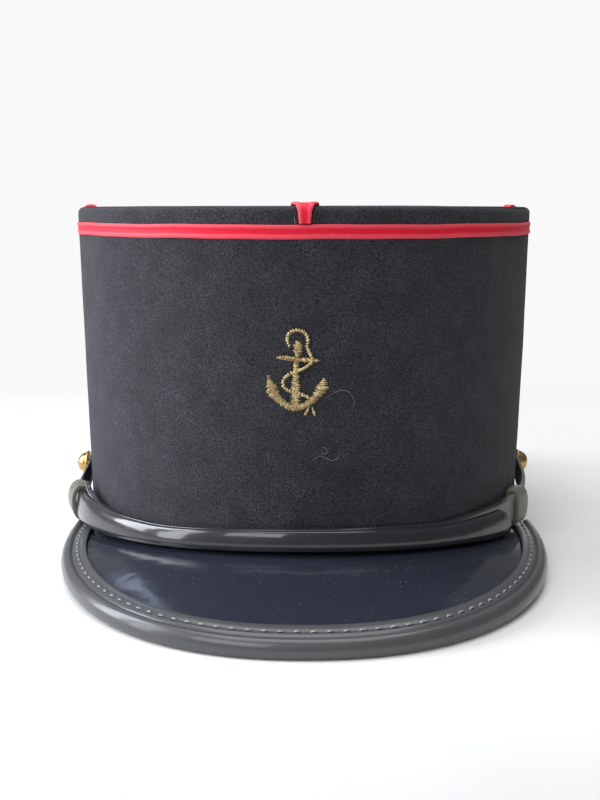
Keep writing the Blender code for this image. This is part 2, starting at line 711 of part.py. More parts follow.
def make_keeper(frame, patent, name, centre, raise_by, back, front):
    """A leather loop round the strap, a short way along it."""
    arc = (crown_point(math.radians(centre + 1), 0) - crown_point(math.radians(centre - 1), 0)).length
    half_angle = KEEPER_WIDTH / arc
    shape = bmesh.new()
    outer_loops, inner_loops = [], []
    for share in KEEPER_ROWS:
        degrees = centre + half_angle * share
        width = STRAP_WIDTH * strap_value("width", degrees)
        low = strap_lower(degrees) + raise_by(degrees) - GAP
        high = low + width + 2 * GAP
        near, far = back(degrees) - GAP, front(degrees) + GAP
        inner = keeper_loop(low, high, near, far, GAP / 2)
        leather = KEEPER_LEATHER
        outer = keeper_loop(low - leather, high + leather, near - leather, far + leather, leather)
        outer_loops.append([shape.verts.new(strap_spot(degrees, up, off)) for up, off in outer])
        inner_loops.append([shape.verts.new(strap_spot(degrees, up, off)) for up, off in inner])
    count = len(outer_loops[0])
    for loops in (outer_loops, inner_loops):
        for first, second in zip(loops, loops[1:]):
            for i in range(count):
                j = (i + 1) % count
                shape.faces.new((first[i], first[j], second[j], second[i]))
    for outside, inside in ((outer_loops[0], inner_loops[0]), (outer_loops[-1], inner_loops[-1])):
        for i in range(count):
            j = (i + 1) % count
            shape.faces.new((outside[i], outside[j], inside[j], inside[i]))
    return add_piece(name, shape, patent, frame)


def make_keepers(frame, patent):
    """The keeper round both straps and the keeper round the inner strap alone."""

    def outer_front(degrees):
        return outer_strap_back(degrees) + STRAP_THICKNESS * strap_value("thick", degrees)

    def inner_front(degrees):
        return inner_strap_back(degrees) + STRAP_INNER_THICKNESS * strap_value("thick", degrees)

    make_keeper(frame, patent, "strap_keeper_left", KEEPER_LEFT_ANGLE, outer_raise,
                outer_strap_back, outer_front)
    make_keeper(frame, patent, "strap_keeper_right", KEEPER_RIGHT_ANGLE, inner_raise,
                inner_strap_back, inner_front)


def make_button(frame, brass, name, side, seat, raise_by):
    """A domed button on a flange, seated on a strap's end."""
    angle = math.radians(BUTTON_ANGLE) * side
    width = STRAP_WIDTH * strap_value("width", BUTTON_ANGLE)
    height = strap_lower(BUTTON_ANGLE) + raise_by + width / 2
    spot = strap_spot(math.degrees(angle), height, seat)
    radius = BUTTON_DIAMETER / 2
    profile = [(radius * row["radius"], BUTTON_FLANGE * row["height"]) for row in BUTTON_EDGE]
    for degrees in (20, 40, 60, 78):
        a = math.radians(degrees)
        profile.append((radius * DOME_RADIUS * math.cos(a), BUTTON_FLANGE + BUTTON_DOME * math.sin(a)))
    profile.append((0, BUTTON_FLANGE + BUTTON_DOME))
    shape = bmesh.new()
    verts = [shape.verts.new((r, 0, h)) for r, h in profile]
    edges = [shape.edges.new(pair) for pair in zip(verts, verts[1:])]
    bmesh.ops.spin(shape, geom=verts + edges, cent=(0, 0, 0), axis=(0, 0, 1), angle=2 * math.pi,
                   steps=BUTTON_STEPS)
    bmesh.ops.remove_doubles(shape, verts=shape.verts, dist=0.001 * MM)
    aim = oval_normal(angle).to_track_quat("Z", "Y").to_matrix().to_4x4()
    bmesh.ops.transform(shape, matrix=Matrix.Translation(spot) @ aim, verts=shape.verts)
    return add_piece(name, shape, brass, frame)


def make_buttons(frame, brass):
    """The two buttons that hold the straps' ends."""
    left_seat = (outer_strap_back(-BUTTON_ANGLE) + STRAP_THICKNESS * strap_value("thick", BUTTON_ANGLE) + GAP)
    right_seat = (inner_strap_back(BUTTON_ANGLE)
                  + STRAP_INNER_THICKNESS * strap_value("thick", BUTTON_ANGLE) + GAP)
    make_button(frame, brass, "button_left", -1, left_seat, 0.0)
    make_button(frame, brass, "button_right", 1, right_seat, inner_raise(BUTTON_ANGLE))


def rest_on_table(frame, pieces):
    """Tips the cap onto its visor's edge and the back of its opening, over the origin."""
    slope, _ = rest_line()
    tilt = Matrix.Rotation(-slope, 4, "X")
    corners = [tilt @ vert.co for piece in pieces for vert in piece.data.vertices]
    low = [min(corner[i] for corner in corners) for i in range(3)]
    high = [max(corner[i] for corner in corners) for i in range(3)]
    frame.rotation_euler = (-slope, 0, 0)
    frame.location = (-(low[0] + high[0]) / 2, -(low[1] + high[1]) / 2, -low[2])


def main():
    clear_scene()
    frame = bpy.data.objects.new("hat_frame", None)
    bpy.context.collection.objects.link(frame)
    cloth = finish("wool_cloth", "2b2b31", 0.95)
    braid = finish("red_soutache", "d81c34", 0.7)
    gold = finish("gold_thread", "c9a04e", 0.45, 0.4)
    patent = finish("patent_leather", "1c2028", 0.15)
    brass = finish("gilt_brass", "d9a441", 0.25, 1.0)
    make_crown_wall(frame, cloth)
    make_crown_top(frame, cloth)
    make_soutache_band(frame, braid)
    for arm in BRAID_ARMS:
        make_soutache_arm(frame, braid, arm["name"], arm["angle"])
    make_soutache_knot(frame, braid)
    make_anchor(frame, gold)
    make_visor(frame, patent)
    make_visor_binding(frame, patent)
    make_straps(frame, patent)
    make_keepers(frame, patent)
    make_buttons(frame, brass)
    rest_on_table(frame, [thing for thing in bpy.data.objects if thing.type == "MESH"])


main()
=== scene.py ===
# Looks of the kepi cap: cloth, soutache, gold embroidery, patent leather and gilt buttons,
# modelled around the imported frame, with a studio floor, lights and a camera.
# Hat frame: the crown stands upright on +Z, the visor points along -Y, and height 0 is the
# front of the head opening. lay_down() tips each piece as the cap rests on the floor.

import math
import random

import bpy
from mathutils import Matrix, Vector


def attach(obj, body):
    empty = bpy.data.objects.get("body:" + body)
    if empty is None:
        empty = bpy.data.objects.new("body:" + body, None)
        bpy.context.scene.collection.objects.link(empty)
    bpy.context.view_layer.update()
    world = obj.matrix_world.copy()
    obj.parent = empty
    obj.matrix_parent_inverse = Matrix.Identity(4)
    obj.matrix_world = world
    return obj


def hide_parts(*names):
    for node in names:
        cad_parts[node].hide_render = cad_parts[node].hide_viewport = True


bl_info = {
    "name": "Kepi Cap",
    "version": (1, 0, 0),
    "blender": (4, 5, 0),
    "location": "View3D > Sidebar > Kepi",
    "description": "Models the looks of a kepi cap around its packed frame",
    "category": "Object",
}

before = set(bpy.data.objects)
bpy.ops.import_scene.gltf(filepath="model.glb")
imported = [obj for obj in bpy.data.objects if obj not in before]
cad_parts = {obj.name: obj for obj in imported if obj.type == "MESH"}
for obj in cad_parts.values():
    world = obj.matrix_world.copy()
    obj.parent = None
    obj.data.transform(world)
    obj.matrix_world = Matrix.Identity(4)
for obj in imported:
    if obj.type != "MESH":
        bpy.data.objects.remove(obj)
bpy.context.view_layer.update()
BODY = "root"

MM = 0.001
GAP = 0.3 * MM  # clearance between pieces that are sewn or laid together
TAU = 2 * math.pi


# Settings shown in the panel

def to_linear(hex_colour):
    """The scene's linear colour of an sRGB hex value."""
    channels = [int(hex_colour[i:i + 2], 16) / 255 for i in (0, 2, 4)]
    return tuple(c / 12.92 if c <= 0.04045 else ((c + 0.055) / 1.055) ** 2.4 for c in channels)


def length_setting(name, description, millimetres):
    return bpy.props.FloatProperty(name=name, description=description, default=millimetres * MM,
                                   unit="LENGTH", precision=4)


def angle_setting(name, description, degrees):
    return bpy.props.FloatProperty(name=name, description=description, default=math.radians(degrees),
                                   subtype="ANGLE", unit="ROTATION")


def share_setting(name, description, value):
    return bpy.props.FloatProperty(name=name, description=description, default=value)


def count_setting(name, description, value):
    return bpy.props.IntProperty(name=name, description=description, default=value, min=1)


def colour_setting(name, description, hex_colour):
    return bpy.props.FloatVectorProperty(name=name, description=description, size=3, min=0, max=1,
                                         default=to_linear(hex_colour), subtype="COLOR")


class KepiCrownSettings(bpy.types.PropertyGroup):
    """Sizes and colours of the cloth crown."""
    width: length_setting("Width", "Across the crown at its rim", 166)
    length: length_setting("Length", "From the crown's front to its back", 206)
    front_height: length_setting("Front height", "From the opening to the rim, in front", 102)
    back_height: length_setting("Back height", "From the opening to the rim, behind", 123)
    draw_in: length_setting("Draw in", "How far the wall leans in towards the opening", 1.3)
    dip: length_setting("Opening dip", "How far the opening's edge hangs at the temples", 4.4)
    wall: length_setting("Wall", "Thickness of the stiffened cloth", 2.6)
    rim_round: length_setting("Rim rounding", "Radius of the fold at the rim", 2.0)
    top_sink: length_setting("Top sink", "How far the top lies below the rim", 2.6)
    top_thickness: length_setting("Top thickness", "Thickness of the flat top", 2.2)
    unevenness: length_setting("Unevenness", "How far the cloth swells and sinks over its stiffener", 0.5)
    sides: count_setting("Sides", "How finely the crown's oval is divided", 240)
    cloth: colour_setting("Cloth", "Colour of the wool", "242428")
    fibre: colour_setting("Fibres", "Colour of the light fibres in the wool", "6c6d74")


class KepiBraidSettings(bpy.types.PropertyGroup):
    """Sizes and colours of the soutache."""
    width: length_setting("Width", "Across both cords", 4.1)
    thickness: length_setting("Thickness", "Of a cord", 0.95)
    band_drop: length_setting("Band drop", "From the rim down to the middle of the band", 7.2)
    knot_reach: length_setting("Knot reach", "From the middle of the top to a lobe of the knot", 26)
    knot_waist: share_setting("Knot waist", "Share of the reach where the knot turns in", 0.6)
    # Colour is the cords' red with painted highlight, and shade is painted shade for the hollow middle
    # between them
    colour: colour_setting("Colour", "Colour of the cords", "ff5464")
    shade: colour_setting("Shade", "Colour of the yarns in the middle", "f80034")


class KepiAnchorSettings(bpy.types.PropertyGroup):
    """Sizes and colours of the embroidered anchor."""
    height: length_setting("Height", "From the anchor's foot to the top of its rope", 24.8)
    foot: length_setting("Foot", "Height of the anchor's lowest point", 43)
    shift: length_setting("Shift", "Sideways from the middle of the crown", -2.5)
    relief: length_setting("Relief", "How far the embroidery stands up", 0.55)
    thread: length_setting("Thread", "Width of a laid thread, drawn coarse enough to show", 0.46)
    gold: colour_setting("Gold", "Colour of the thread in the light", "ffeab0")
    shade: colour_setting("Shade", "Colour of the thread in its folds", "8c6a34")


class KepiVisorSettings(bpy.types.PropertyGroup):
    """Sizes and colours of the visor, its binding and its stitches."""
    reach: length_setting("Reach", "From the crown's front to the visor's edge", 47)
    half_width: length_setting("Half width", "From the middle to the visor's side", 82)
    setback: length_setting("Setback", "From the crown's front back to the visor's widest place", 58)
    squareness: share_setting("Squareness", "Exponent of the outline, where 2 is an ellipse", 2.2)
    end_angle: angle_setting("End angle", "Each way from straight ahead", 91)
    thickness: length_setting("Thickness", "Of the plate", 2.0)
    seat: length_setting("Seat", "How far the plate laps up the crown", 0.5)
    drop: length_setting("Drop", "From the seat to the middle of the rolled edge", 10.2)
    side_lift: length_setting("Side lift", "How much higher the visor's sides stand", 2.6)
    camber: share_setting("Camber", "Rise of the plate, as a share of its run", 0.03)
    roll: length_setting("Roll", "Height of the rolled edge", 5.4)
    roll_width: share_setting("Roll width", "Of the rolled edge, as a share of its height", 0.72)
    binding: length_setting("Binding", "Width of the binding's upper lip", 8.3)
    binding_under: length_setting("Binding below", "Width of the binding's lower lip", 7.2)
    leather: length_setting("Binding leather", "Thickness of the binding", 0.7)
    crease: length_setting("Crease", "Depth of the fold beside the roll", 0.3)
    play: length_setting("Play", "Between the binding's lips and the plate", 0.5)
    stitch_pitch: length_setting("Stitch pitch", "From one stitch to the next", 4.3)
    stitch_length: length_setting("Stitch length", "Of the thread between two holes", 2.1)
    stitch_inset: length_setting("Stitch inset", "From the visor's edge to the stitch line", 5.4)
    thread: length_setting("Thread", "Thickness of the sewing thread", 0.8)
    patent: colour_setting("Patent", "Colour under the lacquer", "2b2f3b")
    binding_patent: colour_setting("Binding patent", "Colour of the binding's worn lacquer", "4d4f51")
    thread_colour: colour_setting("Thread colour", "Colour of the sewing thread", "a6aab2")


class KepiStrapSettings(bpy.types.PropertyGroup):
    """Sizes and colours of the chin strap, its keepers and its buttons."""
    width: length_setting("Width", "Of either strap where it is full", 10)
    thickness: length_setting("Thickness", "Of the padded outer strap", 2.7)
    inner_thickness: length_setting("Inner thickness", "Of the flat inner strap", 1.5)
    stand_off: length_setting("Stand-off", "From the crown, behind the keepers", 2.5)
    rise: length_setting("Rise", "From the seam up to a buttoned end", 13)
    inner_raise: length_setting("Inner raise", "How far the inner strap is raised, at the right keeper", 1.9)
    outer_end: angle_setting("Outer end", "Free end of the outer strap", 51.5)
    outer_lands: angle_setting("Outer lands", "Where the outer strap lies on the crown again", 83.5)
    inner_end: angle_setting("Inner end", "Free end of the inner strap", -66)
    tip: angle_setting("Tip", "Buttoned end of either strap", 93)
    lean: share_setting("Lean", "How much thinner the outer strap is above, and thicker below", 0.3)
    keeper_width: length_setting("Keeper width", "Along the strap", 8.0)
    keeper_leather: length_setting("Keeper leather", "Thickness of a keeper, with its turned edges", 1.6)
    keeper_flare: length_setting("Keeper flare", "How far a keeper stands off at its button's side", 1.2)
    keeper_play: length_setting("Keeper play", "Between a keeper's front and the strap", 0.06)
    keeper_left: angle_setting("Left keeper", "Its place from the front", -70)
    keeper_right: angle_setting("Right keeper", "Its place from the front", 60)
    button_place: angle_setting("Button place", "From the front", 88)
    button_diameter: length_setting("Button diameter", "Across the flange", 9.6)
    button_flange: length_setting("Button flange", "Thickness of the flange", 0.9)
    button_dome: length_setting("Button dome", "Height of the dome above its flange", 3.7)
    patent: colour_setting("Patent", "Colour under the lacquer", "303136")
    keeper_patent: colour_setting("Keeper patent", "Worn lacquer of keepers and strap end", "76746a")
    brass: colour_setting("Brass", "Colour of the gilt buttons", "dcb878")


class KepiStageSettings(bpy.types.PropertyGroup):
    """Floor, lights and camera."""
    floor_reach: length_setting("Floor reach", "From the cap to where the floor fades out", 900)
    camera_x: length_setting("Camera across", "Sideways from the cap's middle", -1.05)
    camera_y: length_setting("Camera back", "From the cap's middle, to the front where negative", -367.45)
    camera_z: length_setting("Camera height", "Above the floor", 104.5)
    camera_pitch: angle_setting("Camera pitch", "Down from the horizon", 8.7)
    lens: share_setting("Lens", "Focal length in millimetres on a frame 36 mm high", 45.0)
    floor: colour_setting("Floor", "Colour of the paper floor", "e9e9e9")
    sky: share_setting("Background", "Brightness of the white behind the cap", 0.947)
    room_left: share_setting("Room left", "Brightness of the room at the left", 0.33)
    room_right: share_setting("Room right", "Brightness of the room at the right", 0.12)


def crown():
    return bpy.context.scene.kepi_crown


def braid():
    return bpy.context.scene.kepi_braid


def anchor():
    return bpy.context.scene.kepi_anchor


def visor():
    return bpy.context.scene.kepi_visor


def strap():
    return bpy.context.scene.kepi_strap


def table(columns, *rows):
    """Rows whose values are read by the names of their columns."""
    names = columns.split()
    return [dict(zip(names, row)) for row in rows]


# How much of its dip the opening's edge has, by degrees from the front
OPENING_DIP_ROWS = table(
    "degrees share",
    (0.0, 0.0), (75.0, 1.0), (150.0, 0.0),
)

# Braid over the rim: distance along it in millimetres from the band, and share of its width
BRAID_ARM_ROWS = table(
    "run width",
    (0.0, 0.82), (3.0, 0.95), (5.2, 1.3), (6.8, 2.0), (9.5, 2.0), (15.0, 1.0),
)

# Where the four braid arms cross the rim
BRAID_ARMS = table(
    "node degrees",
    ("soutache_front", 0.0), ("soutache_right", 96.0), ("soutache_back", 180.0),
    ("soutache_left", 270.0),
)

# Chin strap by degrees from the front: lower edge as a share of its rise, width, stand-off and
# thickness as shares of the strap's own
STRAP_ROWS = table(
    "degrees lower width off thick",
    (0.0, 0.027, 0.70, 0.24, 1.0),
    (30.0, 0.027, 0.67, 0.24, 1.0),
    (48.0, 0.027, 0.86, 0.55, 1.0),
    (56.0, 0.105, 0.98, 1.0, 1.0),
    (64.0, 0.15, 1.0, 1.0, 0.95),
    (70.0, 0.18, 1.0, 1.0, 0.88),
    (74.0, 0.29, 1.0, 1.0, 0.80),
    (78.0, 0.49, 0.95, 0.80, 0.65),
    (83.5, 0.815, 0.90, 0.36, 0.60),
    (88.0, 0.98, 0.88, 0.36, 0.60),
    (94.0, 1.02, 0.80, 0.36, 0.60),
)

# How much of its raise the inner strap has, by degrees from the front
INNER_RAISE_ROWS = table(
    "degrees share",
    (-66.0, 2.6), (-60.0, 0.8), (-54.0, -0.2), (-8.0, -0.2), (28.0, 0.35), (46.0, 1.0), (64.0, 1.0),
    (72.0, 1.3), (84.0, 0.35),
)

# Anchor strokes: across from the middle, up from the foot, and width, as shares of its height
ANCHOR_ARMS = table(
    "across up width",
    (-0.324, 0.430, 0.030), (-0.308, 0.346, 0.090), (-0.276, 0.248, 0.165), (-0.220, 0.168, 0.110),
    (-0.126, 0.089, 0.092), (-0.014, 0.050, 0.100), (0.098, 0.082, 0.088), (0.182, 0.140, 0.088),
    (0.257, 0.220, 0.120), (0.304, 0.290, 0.150), (0.321, 0.355, 0.095), (0.322, 0.411, 0.030),
)
ANCHOR_SHANK = table(
    "across up width",
    (-0.014, 0.085, 0.122), (-0.007, 0.196, 0.117), (-0.005, 0.383, 0.094), (0.0, 0.570, 0.066),
    (0.012, 0.668, 0.062), (0.019, 0.705, 0.105), (0.021, 0.757, 0.130), (0.021, 0.813, 0.100),
    (0.022, 0.850, 0.040),
)
ANCHOR_STOCK = table(
    "across up width",
    (-0.215, 0.650, 0.026), (-0.164, 0.647, 0.058), (0.0, 0.631, 0.062), (0.154, 0.621, 0.062),
    (0.234, 0.617, 0.050), (0.264, 0.615, 0.024),
)
ANCHOR_ROPE_WIDTH = 0.050
ANCHOR_ROPE = table(
    "across up",
    (-0.079, 0.794), (-0.100, 0.850), (-0.096, 0.912), (-0.051, 0.957), (0.023, 0.975),
    (0.089, 0.950), (0.128, 0.897), (0.136, 0.841), (0.124, 0.785), (0.145, 0.729), (0.172, 0.673),
    (0.186, 0.620), (0.145, 0.566), (0.061, 0.512), (-0.033, 0.482), (-0.107, 0.439),
    (-0.150, 0.383), (-0.152, 0.325), (-0.112, 0.276), (-0.051, 0.252), (0.023, 0.234),
    (0.079, 0.210), (0.140, 0.185),
)

# Two cut thread ends under the anchor, from where they leave it, as shares of its height
ANCHOR_TAILS = table(
    "across up to_across to_up",
    (0.155, 0.070, 0.095, -0.036), (0.182, 0.075, 0.219, -0.040),
)

# Lint on the crown's front, as lines of (across, height) points in millimetres
LINT = (
    ((6.6, 47.6), (8.4, 48.6), (10.6, 49.4), (13.0, 48.6), (14.4, 46.4), (14.2, 43.8)),
    ((4.9, 32.4), (6.0, 32.2), (6.6, 31.2), (6.1, 30.4), (5.2, 30.7), (4.9, 31.4)),
    ((2.2, 28.6), (4.2, 29.7), (6.2, 29.2), (8.0, 28.3), (9.8, 29.0), (10.4, 30.1)),
    ((-49.5, 94.6), (-49.0, 96.0), (-48.2, 97.2)),
    ((-2.0, 96.2), (-2.8, 97.4), (-3.0, 99.0)),
)


# The crown's own shape, which the other pieces follow

def read_row(rows, key, place, column):
    """Reads a column of a table at a place between its rows, eased so that it stays smooth."""
    if place <= rows[0][key]:
        return rows[0][column]
    for low, high in zip(rows, rows[1:]):
        if place <= high[key]:
            share = (place - low[key]) / (high[key] - low[key])
            eased = share * share * (3 - 2 * share)
            return low[column] + eased * (high[column] - low[column])
    return rows[-1][column]


def smooth_rows(rows, keys, parts):
    """Points of a smooth curve through the rows, with the named columns."""
    values = [[row[key] for key in keys] for row in rows]
    curve = []
    for i in range(len(values) - 1):
        before = values[max(i - 1, 0)]
        after = values[min(i + 2, len(values) - 1)]
        for step in range(parts):
            t = step / parts
            point = []
            for p0, p1, p2, p3 in zip(before, values[i], values[i + 1], after):
                point.append(0.5 * (2 * p1 + (p2 - p0) * t + (2 * p0 - 5 * p1 + 4 * p2 - p3) * t ** 2
                                    + (3 * p1 - p0 - 3 * p2 + p3) * t ** 3))
            curve.append(point)
    curve.append(values[-1])
    return curve


def opening_fall():
    """How much the head opening drops for each unit from front to back."""
    return (crown().back_height - crown().front_height) / crown().length


def opening_height(x, y):
    """Height of the opening's edge, which drops from front to back and hangs at the temples."""
    turned = abs(math.degrees(math.atan2(x / crown().width, -y / crown().length)))
    dip = crown().dip * read_row(OPENING_DIP_ROWS, "degrees", turned, "share")
    return -opening_fall() * (y + crown().length / 2) - dip


def oval_normal(angle):
    """Outward direction of the crown's oval at an angle from the front."""
    return Vector((math.sin(angle) / crown().width, -math.cos(angle) / crown().length, 0)).normalized()


def crown_point(angle, height, off=0.0):
    """A point at a height, off the crown's outer face by a distance (inside it if negative)."""
    rim = crown().front_height
    lean = crown().draw_in * (rim - height) / rim
    oval = Vector((crown().width / 2 * math.sin(angle), -crown().length / 2 * math.cos(angle), height))
    return oval + oval_normal(angle) * (off - lean)


def above_seam(angle, above, off):
    """A point above the seam of the head opening, off the crown."""
    seam = crown_point(angle, 0.0, off)
    return crown_point(angle, opening_height(seam.x, seam.y) + above, off)


def top_height():
    return crown().front_height - crown().top_sink


def hat_frame():
    """Where the hat frame lies as the cap rests, read from the crown's flat top."""
    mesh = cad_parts["crown_top"].data
    faces = [face for face in mesh.polygons if face.normal.z > 0.9]
    up = sum((face.normal * face.area for face in faces), Vector()).normalized()
    points = [mesh.vertices[i].co for face in faces for i in face.vertices]
    middle = Vector([(min(p[i] for p in points) + max(p[i] for p in points)) / 2 for i in range(3)])
    tip = math.atan2(-up.y, up.z)
    return Matrix.Translation(middle - up * top_height()) @ Matrix.Rotation(tip, 4, "X")


# Modelling steps

def deselect():
    bpy.ops.object.select_all(action="DESELECT")


def focus(piece):
    """Makes a piece the only selected one."""
    deselect()
    piece.select_set(True)
    bpy.context.view_layer.objects.active = piece


def name_piece(name):
    """Names the primitive that was just added."""
    piece = bpy.context.object
    piece.name = name
    piece.data.name = name
    return piece


def edit(piece, what="VERT"):
    focus(piece)
    bpy.ops.object.mode_set(mode="EDIT")
    bpy.ops.mesh.select_mode(type=what)


def leave_edit():
    bpy.ops.object.mode_set(mode="OBJECT")


def pick_edges(piece, test):
    """Selects the edges whose two ends pass a test, in edit mode."""
    bpy.ops.mesh.select_mode(type="EDGE")
    bpy.ops.mesh.select_all(action="DESELECT")
    bpy.ops.object.mode_set(mode="OBJECT")
    verts = piece.data.vertices
    for edge in piece.data.edges:
        edge.select = test(verts[edge.vertices[0]].co, verts[edge.vertices[1]].co)
    bpy.ops.object.mode_set(mode="EDIT")


def apply_modifier(piece, kind, **settings):
    """Adds a modifier with its settings and applies it."""
    focus(piece)
    modifier = piece.modifiers.new(kind.title(), kind)
    for name, value in settings.items():
        setattr(modifier, name, value)
    bpy.ops.object.modifier_apply(modifier=modifier.name)


def face_outwards():
    """Turns all faces of the piece in edit mode outwards."""
    bpy.ops.mesh.select_all(action="SELECT")
    bpy.ops.mesh.normals_make_consistent(inside=False)


def close_seam(piece):
    """Merges the doubled points where a grid meets itself, and turns the faces outwards."""
    edit(piece)
    bpy.ops.mesh.select_all(action="SELECT")
    bpy.ops.mesh.remove_doubles(threshold=0.002 * MM)
    face_outwards()
    leave_edit()


def close_ends(piece):
    """Fills a tube's open ends."""
    edit(piece)
    bpy.ops.mesh.select_all(action="SELECT")
    bpy.ops.mesh.fill_holes(sides=0)
    face_outwards()
    leave_edit()


def wrap_sheet(name, along, around, place, uv_length=1.0, uv_width=1.0):
    """Bends a grid into its place. place takes the shares 0 to 1 along and around it.
    Where a weave reads the UV map, its length and width are in metres."""
    deselect()
    bpy.ops.mesh.primitive_grid_add(x_subdivisions=along, y_subdivisions=around, size=2.0)
    piece = name_piece(name)
    for loop in piece.data.uv_layers.active.data:
        loop.uv = (loop.uv.x * uv_length, loop.uv.y * uv_width)
    for vert in piece.data.vertices:
        vert.co = place((vert.co.x + 1) / 2, (vert.co.y + 1) / 2)
    close_seam(piece)
    return piece


def lay_down(piece, place=Matrix()):
    """Tips a finished piece as the cap rests, with its place in its mesh."""
    piece.matrix_world = hat_frame() @ place
    focus(piece)
    bpy.ops.object.transform_apply(location=True, rotation=True, scale=True)


def hand_over(piece, material, node=None, smooth=40.0):
    """Gives a piece its material and ties it to the frame. Edges up to smooth degrees look round."""
    focus(piece)
    bpy.ops.object.shade_smooth_by_angle(angle=math.radians(smooth))
    piece.data.materials.clear()
    piece.data.materials.append(material)
    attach(piece, BODY)
    if node is not None:
        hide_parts(node)


def join(pieces, name):
    focus(pieces[0])
    for piece in pieces:
        piece.select_set(True)
    bpy.ops.object.join()
    pieces[0].name = name
    pieces[0].data.name = name
    return pieces[0]


def make_bead():
    """One long stitch to copy: a sphere pulled out along X, from -1 to 1."""
    deselect()
    bpy.ops.mesh.primitive_uv_sphere_add(segments=8, ring_count=10, radius=1.0)
    bead = name_piece("bead")
    edit(bead)
    bpy.ops.mesh.select_all(action="SELECT")
    bpy.ops.transform.rotate(value=math.pi / 2, orient_axis="Y", center_override=(0, 0, 0))
    leave_edit()
    return bead


def sew(name, stitches, place):
    """Copies one bead for every stitch, bends each copy to its place and joins them."""
    bead = make_bead()
    copies = []
    for stitch in stitches:
        copy = bead.copy()
        copy.data = bead.data.copy()
        bpy.context.collection.objects.link(copy)
        for vert in copy.data.vertices:
            vert.co = place(stitch, vert.co)
        copies.append(copy)
    bpy.data.objects.remove(bead, do_unlink=True)
    piece = join(copies, name)
    edit(piece)
    face_outwards()
    leave_edit()
    return piece


# Materials

def fill_inputs(tree, made, inputs):
    """Fills a node's inputs, by name or in order, with values or with what is linked to them.
    Where a node is given, its first output in use is linked."""
    for name, value in inputs.items() if isinstance(inputs, dict) else enumerate(inputs):
        if isinstance(value, bpy.types.Node):
            value = next(output for output in value.outputs if output.enabled)
        if isinstance(value, bpy.types.NodeSocket):
            tree.links.new(value, made.inputs[name])
        else:
            made.inputs[name].default_value = value


def add_node(tree, kind, inputs=(), **settings):
    """Adds a node with its settings and its inputs."""
    made = tree.nodes.new("ShaderNode" + kind)
    for name, value in settings.items():
        setattr(made, name, value)
    fill_inputs(tree, made, inputs)
    return made


def new_material(name):
    """A material with its tree, its shader and its object coordinates. In the materials below,
    MapRange takes the value, its two limits and what they become. Mix takes its share as 0 and
    its two colours as 6 and 7. The Scale of a noise is 1 over the width of its patches."""
    material = bpy.data.materials.new(name)
    material.use_nodes = True
    tree = material.node_tree
    return material, tree, tree.nodes["Principled BSDF"], add_node(tree, "TexCoord").outputs["Object"]


def wool_cloth():
    """Fulled wool cloth: matt and dark, with a felted face of short fibres that catch the light."""
    material, tree, shader, place = new_material("fulled_wool_cloth")
    # Fibre ends are about 0.05 mm across, and are drawn 0.4 mm wide so that they show
    fibres = add_node(tree, "TexNoise", {"Vector": place, "Scale": 1 / (0.42 * MM), "Detail": 2.0,
                                         "Roughness": 0.65})
    lint = add_node(tree, "TexNoise", {"Vector": place, "Scale": 1 / (1.1 * MM), "Detail": 4.0,
                                       "Roughness": 0.75})
    # The nap is pressed in patches about 9 mm wide
    nap = add_node(tree, "TexNoise", {"Vector": place, "Scale": 1 / (9 * MM), "Detail": 3.0})
    flecks = add_node(tree, "MapRange", (fibres, 0.38, 0.72, 0.0, 0.5))
    specks = add_node(tree, "MapRange", (lint, 0.70, 0.80, 0.0, 0.3))
    patches = add_node(tree, "MapRange", (nap, 0.3, 0.7, 0.7, 1.3))
    share = add_node(tree, "Math", (flecks, patches), operation="MULTIPLY")
    total = add_node(tree, "Math", (share, specks), operation="ADD", use_clamp=True)
    colour = add_node(tree, "Mix", {0: total, 6: (*crown().cloth, 1), 7: (*crown().fibre, 1)},
                      data_type="RGBA")
    bump = add_node(tree, "Bump", {"Height": fibres, "Strength": 0.55, "Distance": 0.35 * MM})
    fill_inputs(tree, shader, {"Base Color": colour, "Roughness": 0.95, "Specular IOR Level": 0.2,
                               "Sheen Weight": 0.10, "Sheen Roughness": 0.5,
                               "Sheen Tint": (0.8, 0.8, 0.85, 1), "Normal": bump})
    return material


def soutache_rayon():
    """Plaited rayon braid: silky red yarns that slant between two cords, with painted highlight on the cords
    and painted shade in the deep red middle.
    """
    material, tree, shader, _ = new_material("plaited_rayon_braid")
    yarn = 0.95 * MM  # a yarn is about 0.4 mm wide, and is drawn wider so that it shows
    width = braid().width
    uv = add_node(tree, "UVMap").outputs[0]
    parts = add_node(tree, "SeparateXYZ", (uv,)).outputs
    off_groove = add_node(tree, "Math", (parts["Y"], width / 2), operation="SUBTRACT")
    lean = add_node(tree, "Math", (off_groove,), operation="ABSOLUTE")
    slant = add_node(tree, "Math", (parts["X"], lean), operation="ADD")
    turns = add_node(tree, "Math", (slant, TAU / yarn), operation="MULTIPLY")
    wave = add_node(tree, "Math", (turns,), operation="SINE")
    noise = add_node(tree, "TexNoise", {"Vector": uv, "Scale": 1 / (0.6 * MM), "Detail": 2.0})
    rough = add_node(tree, "Math", (wave, 0.12, noise), operation="MULTIPLY_ADD")
    # Painted highlight and shade: the two cords are coloured lighter where they would catch the light and
    # the hollow middle between them darker, and the slanting yarns and a fine noise add painted shade
    # between yarns
    painted_cord_highlight = add_node(tree, "MapRange", (lean, width * 0.08, width * 0.16, 0.0, 0.85))
    tone = add_node(tree, "MapRange", (rough, 0.1, 0.9, -0.2, 0.35))
    painted_light_share = add_node(tree, "Math", (painted_cord_highlight, tone), operation="ADD", use_clamp=True)
    colour = add_node(tree, "Mix", {0: painted_light_share, 6: (*braid().shade, 1), 7: (*braid().colour, 1)},
                      data_type="RGBA")
    bump = add_node(tree, "Bump", {"Height": rough, "Strength": 0.2, "Distance": 0.08 * MM})
    fill_inputs(tree, shader, {"Base Color": colour, "Roughness": 0.55, "Specular IOR Level": 0.35,
                               "Sheen Weight": 0.2, "Sheen Roughness": 0.4,
                               "Sheen Tint": (1.0, 0.5, 0.55, 1), "Normal": bump})
    return material


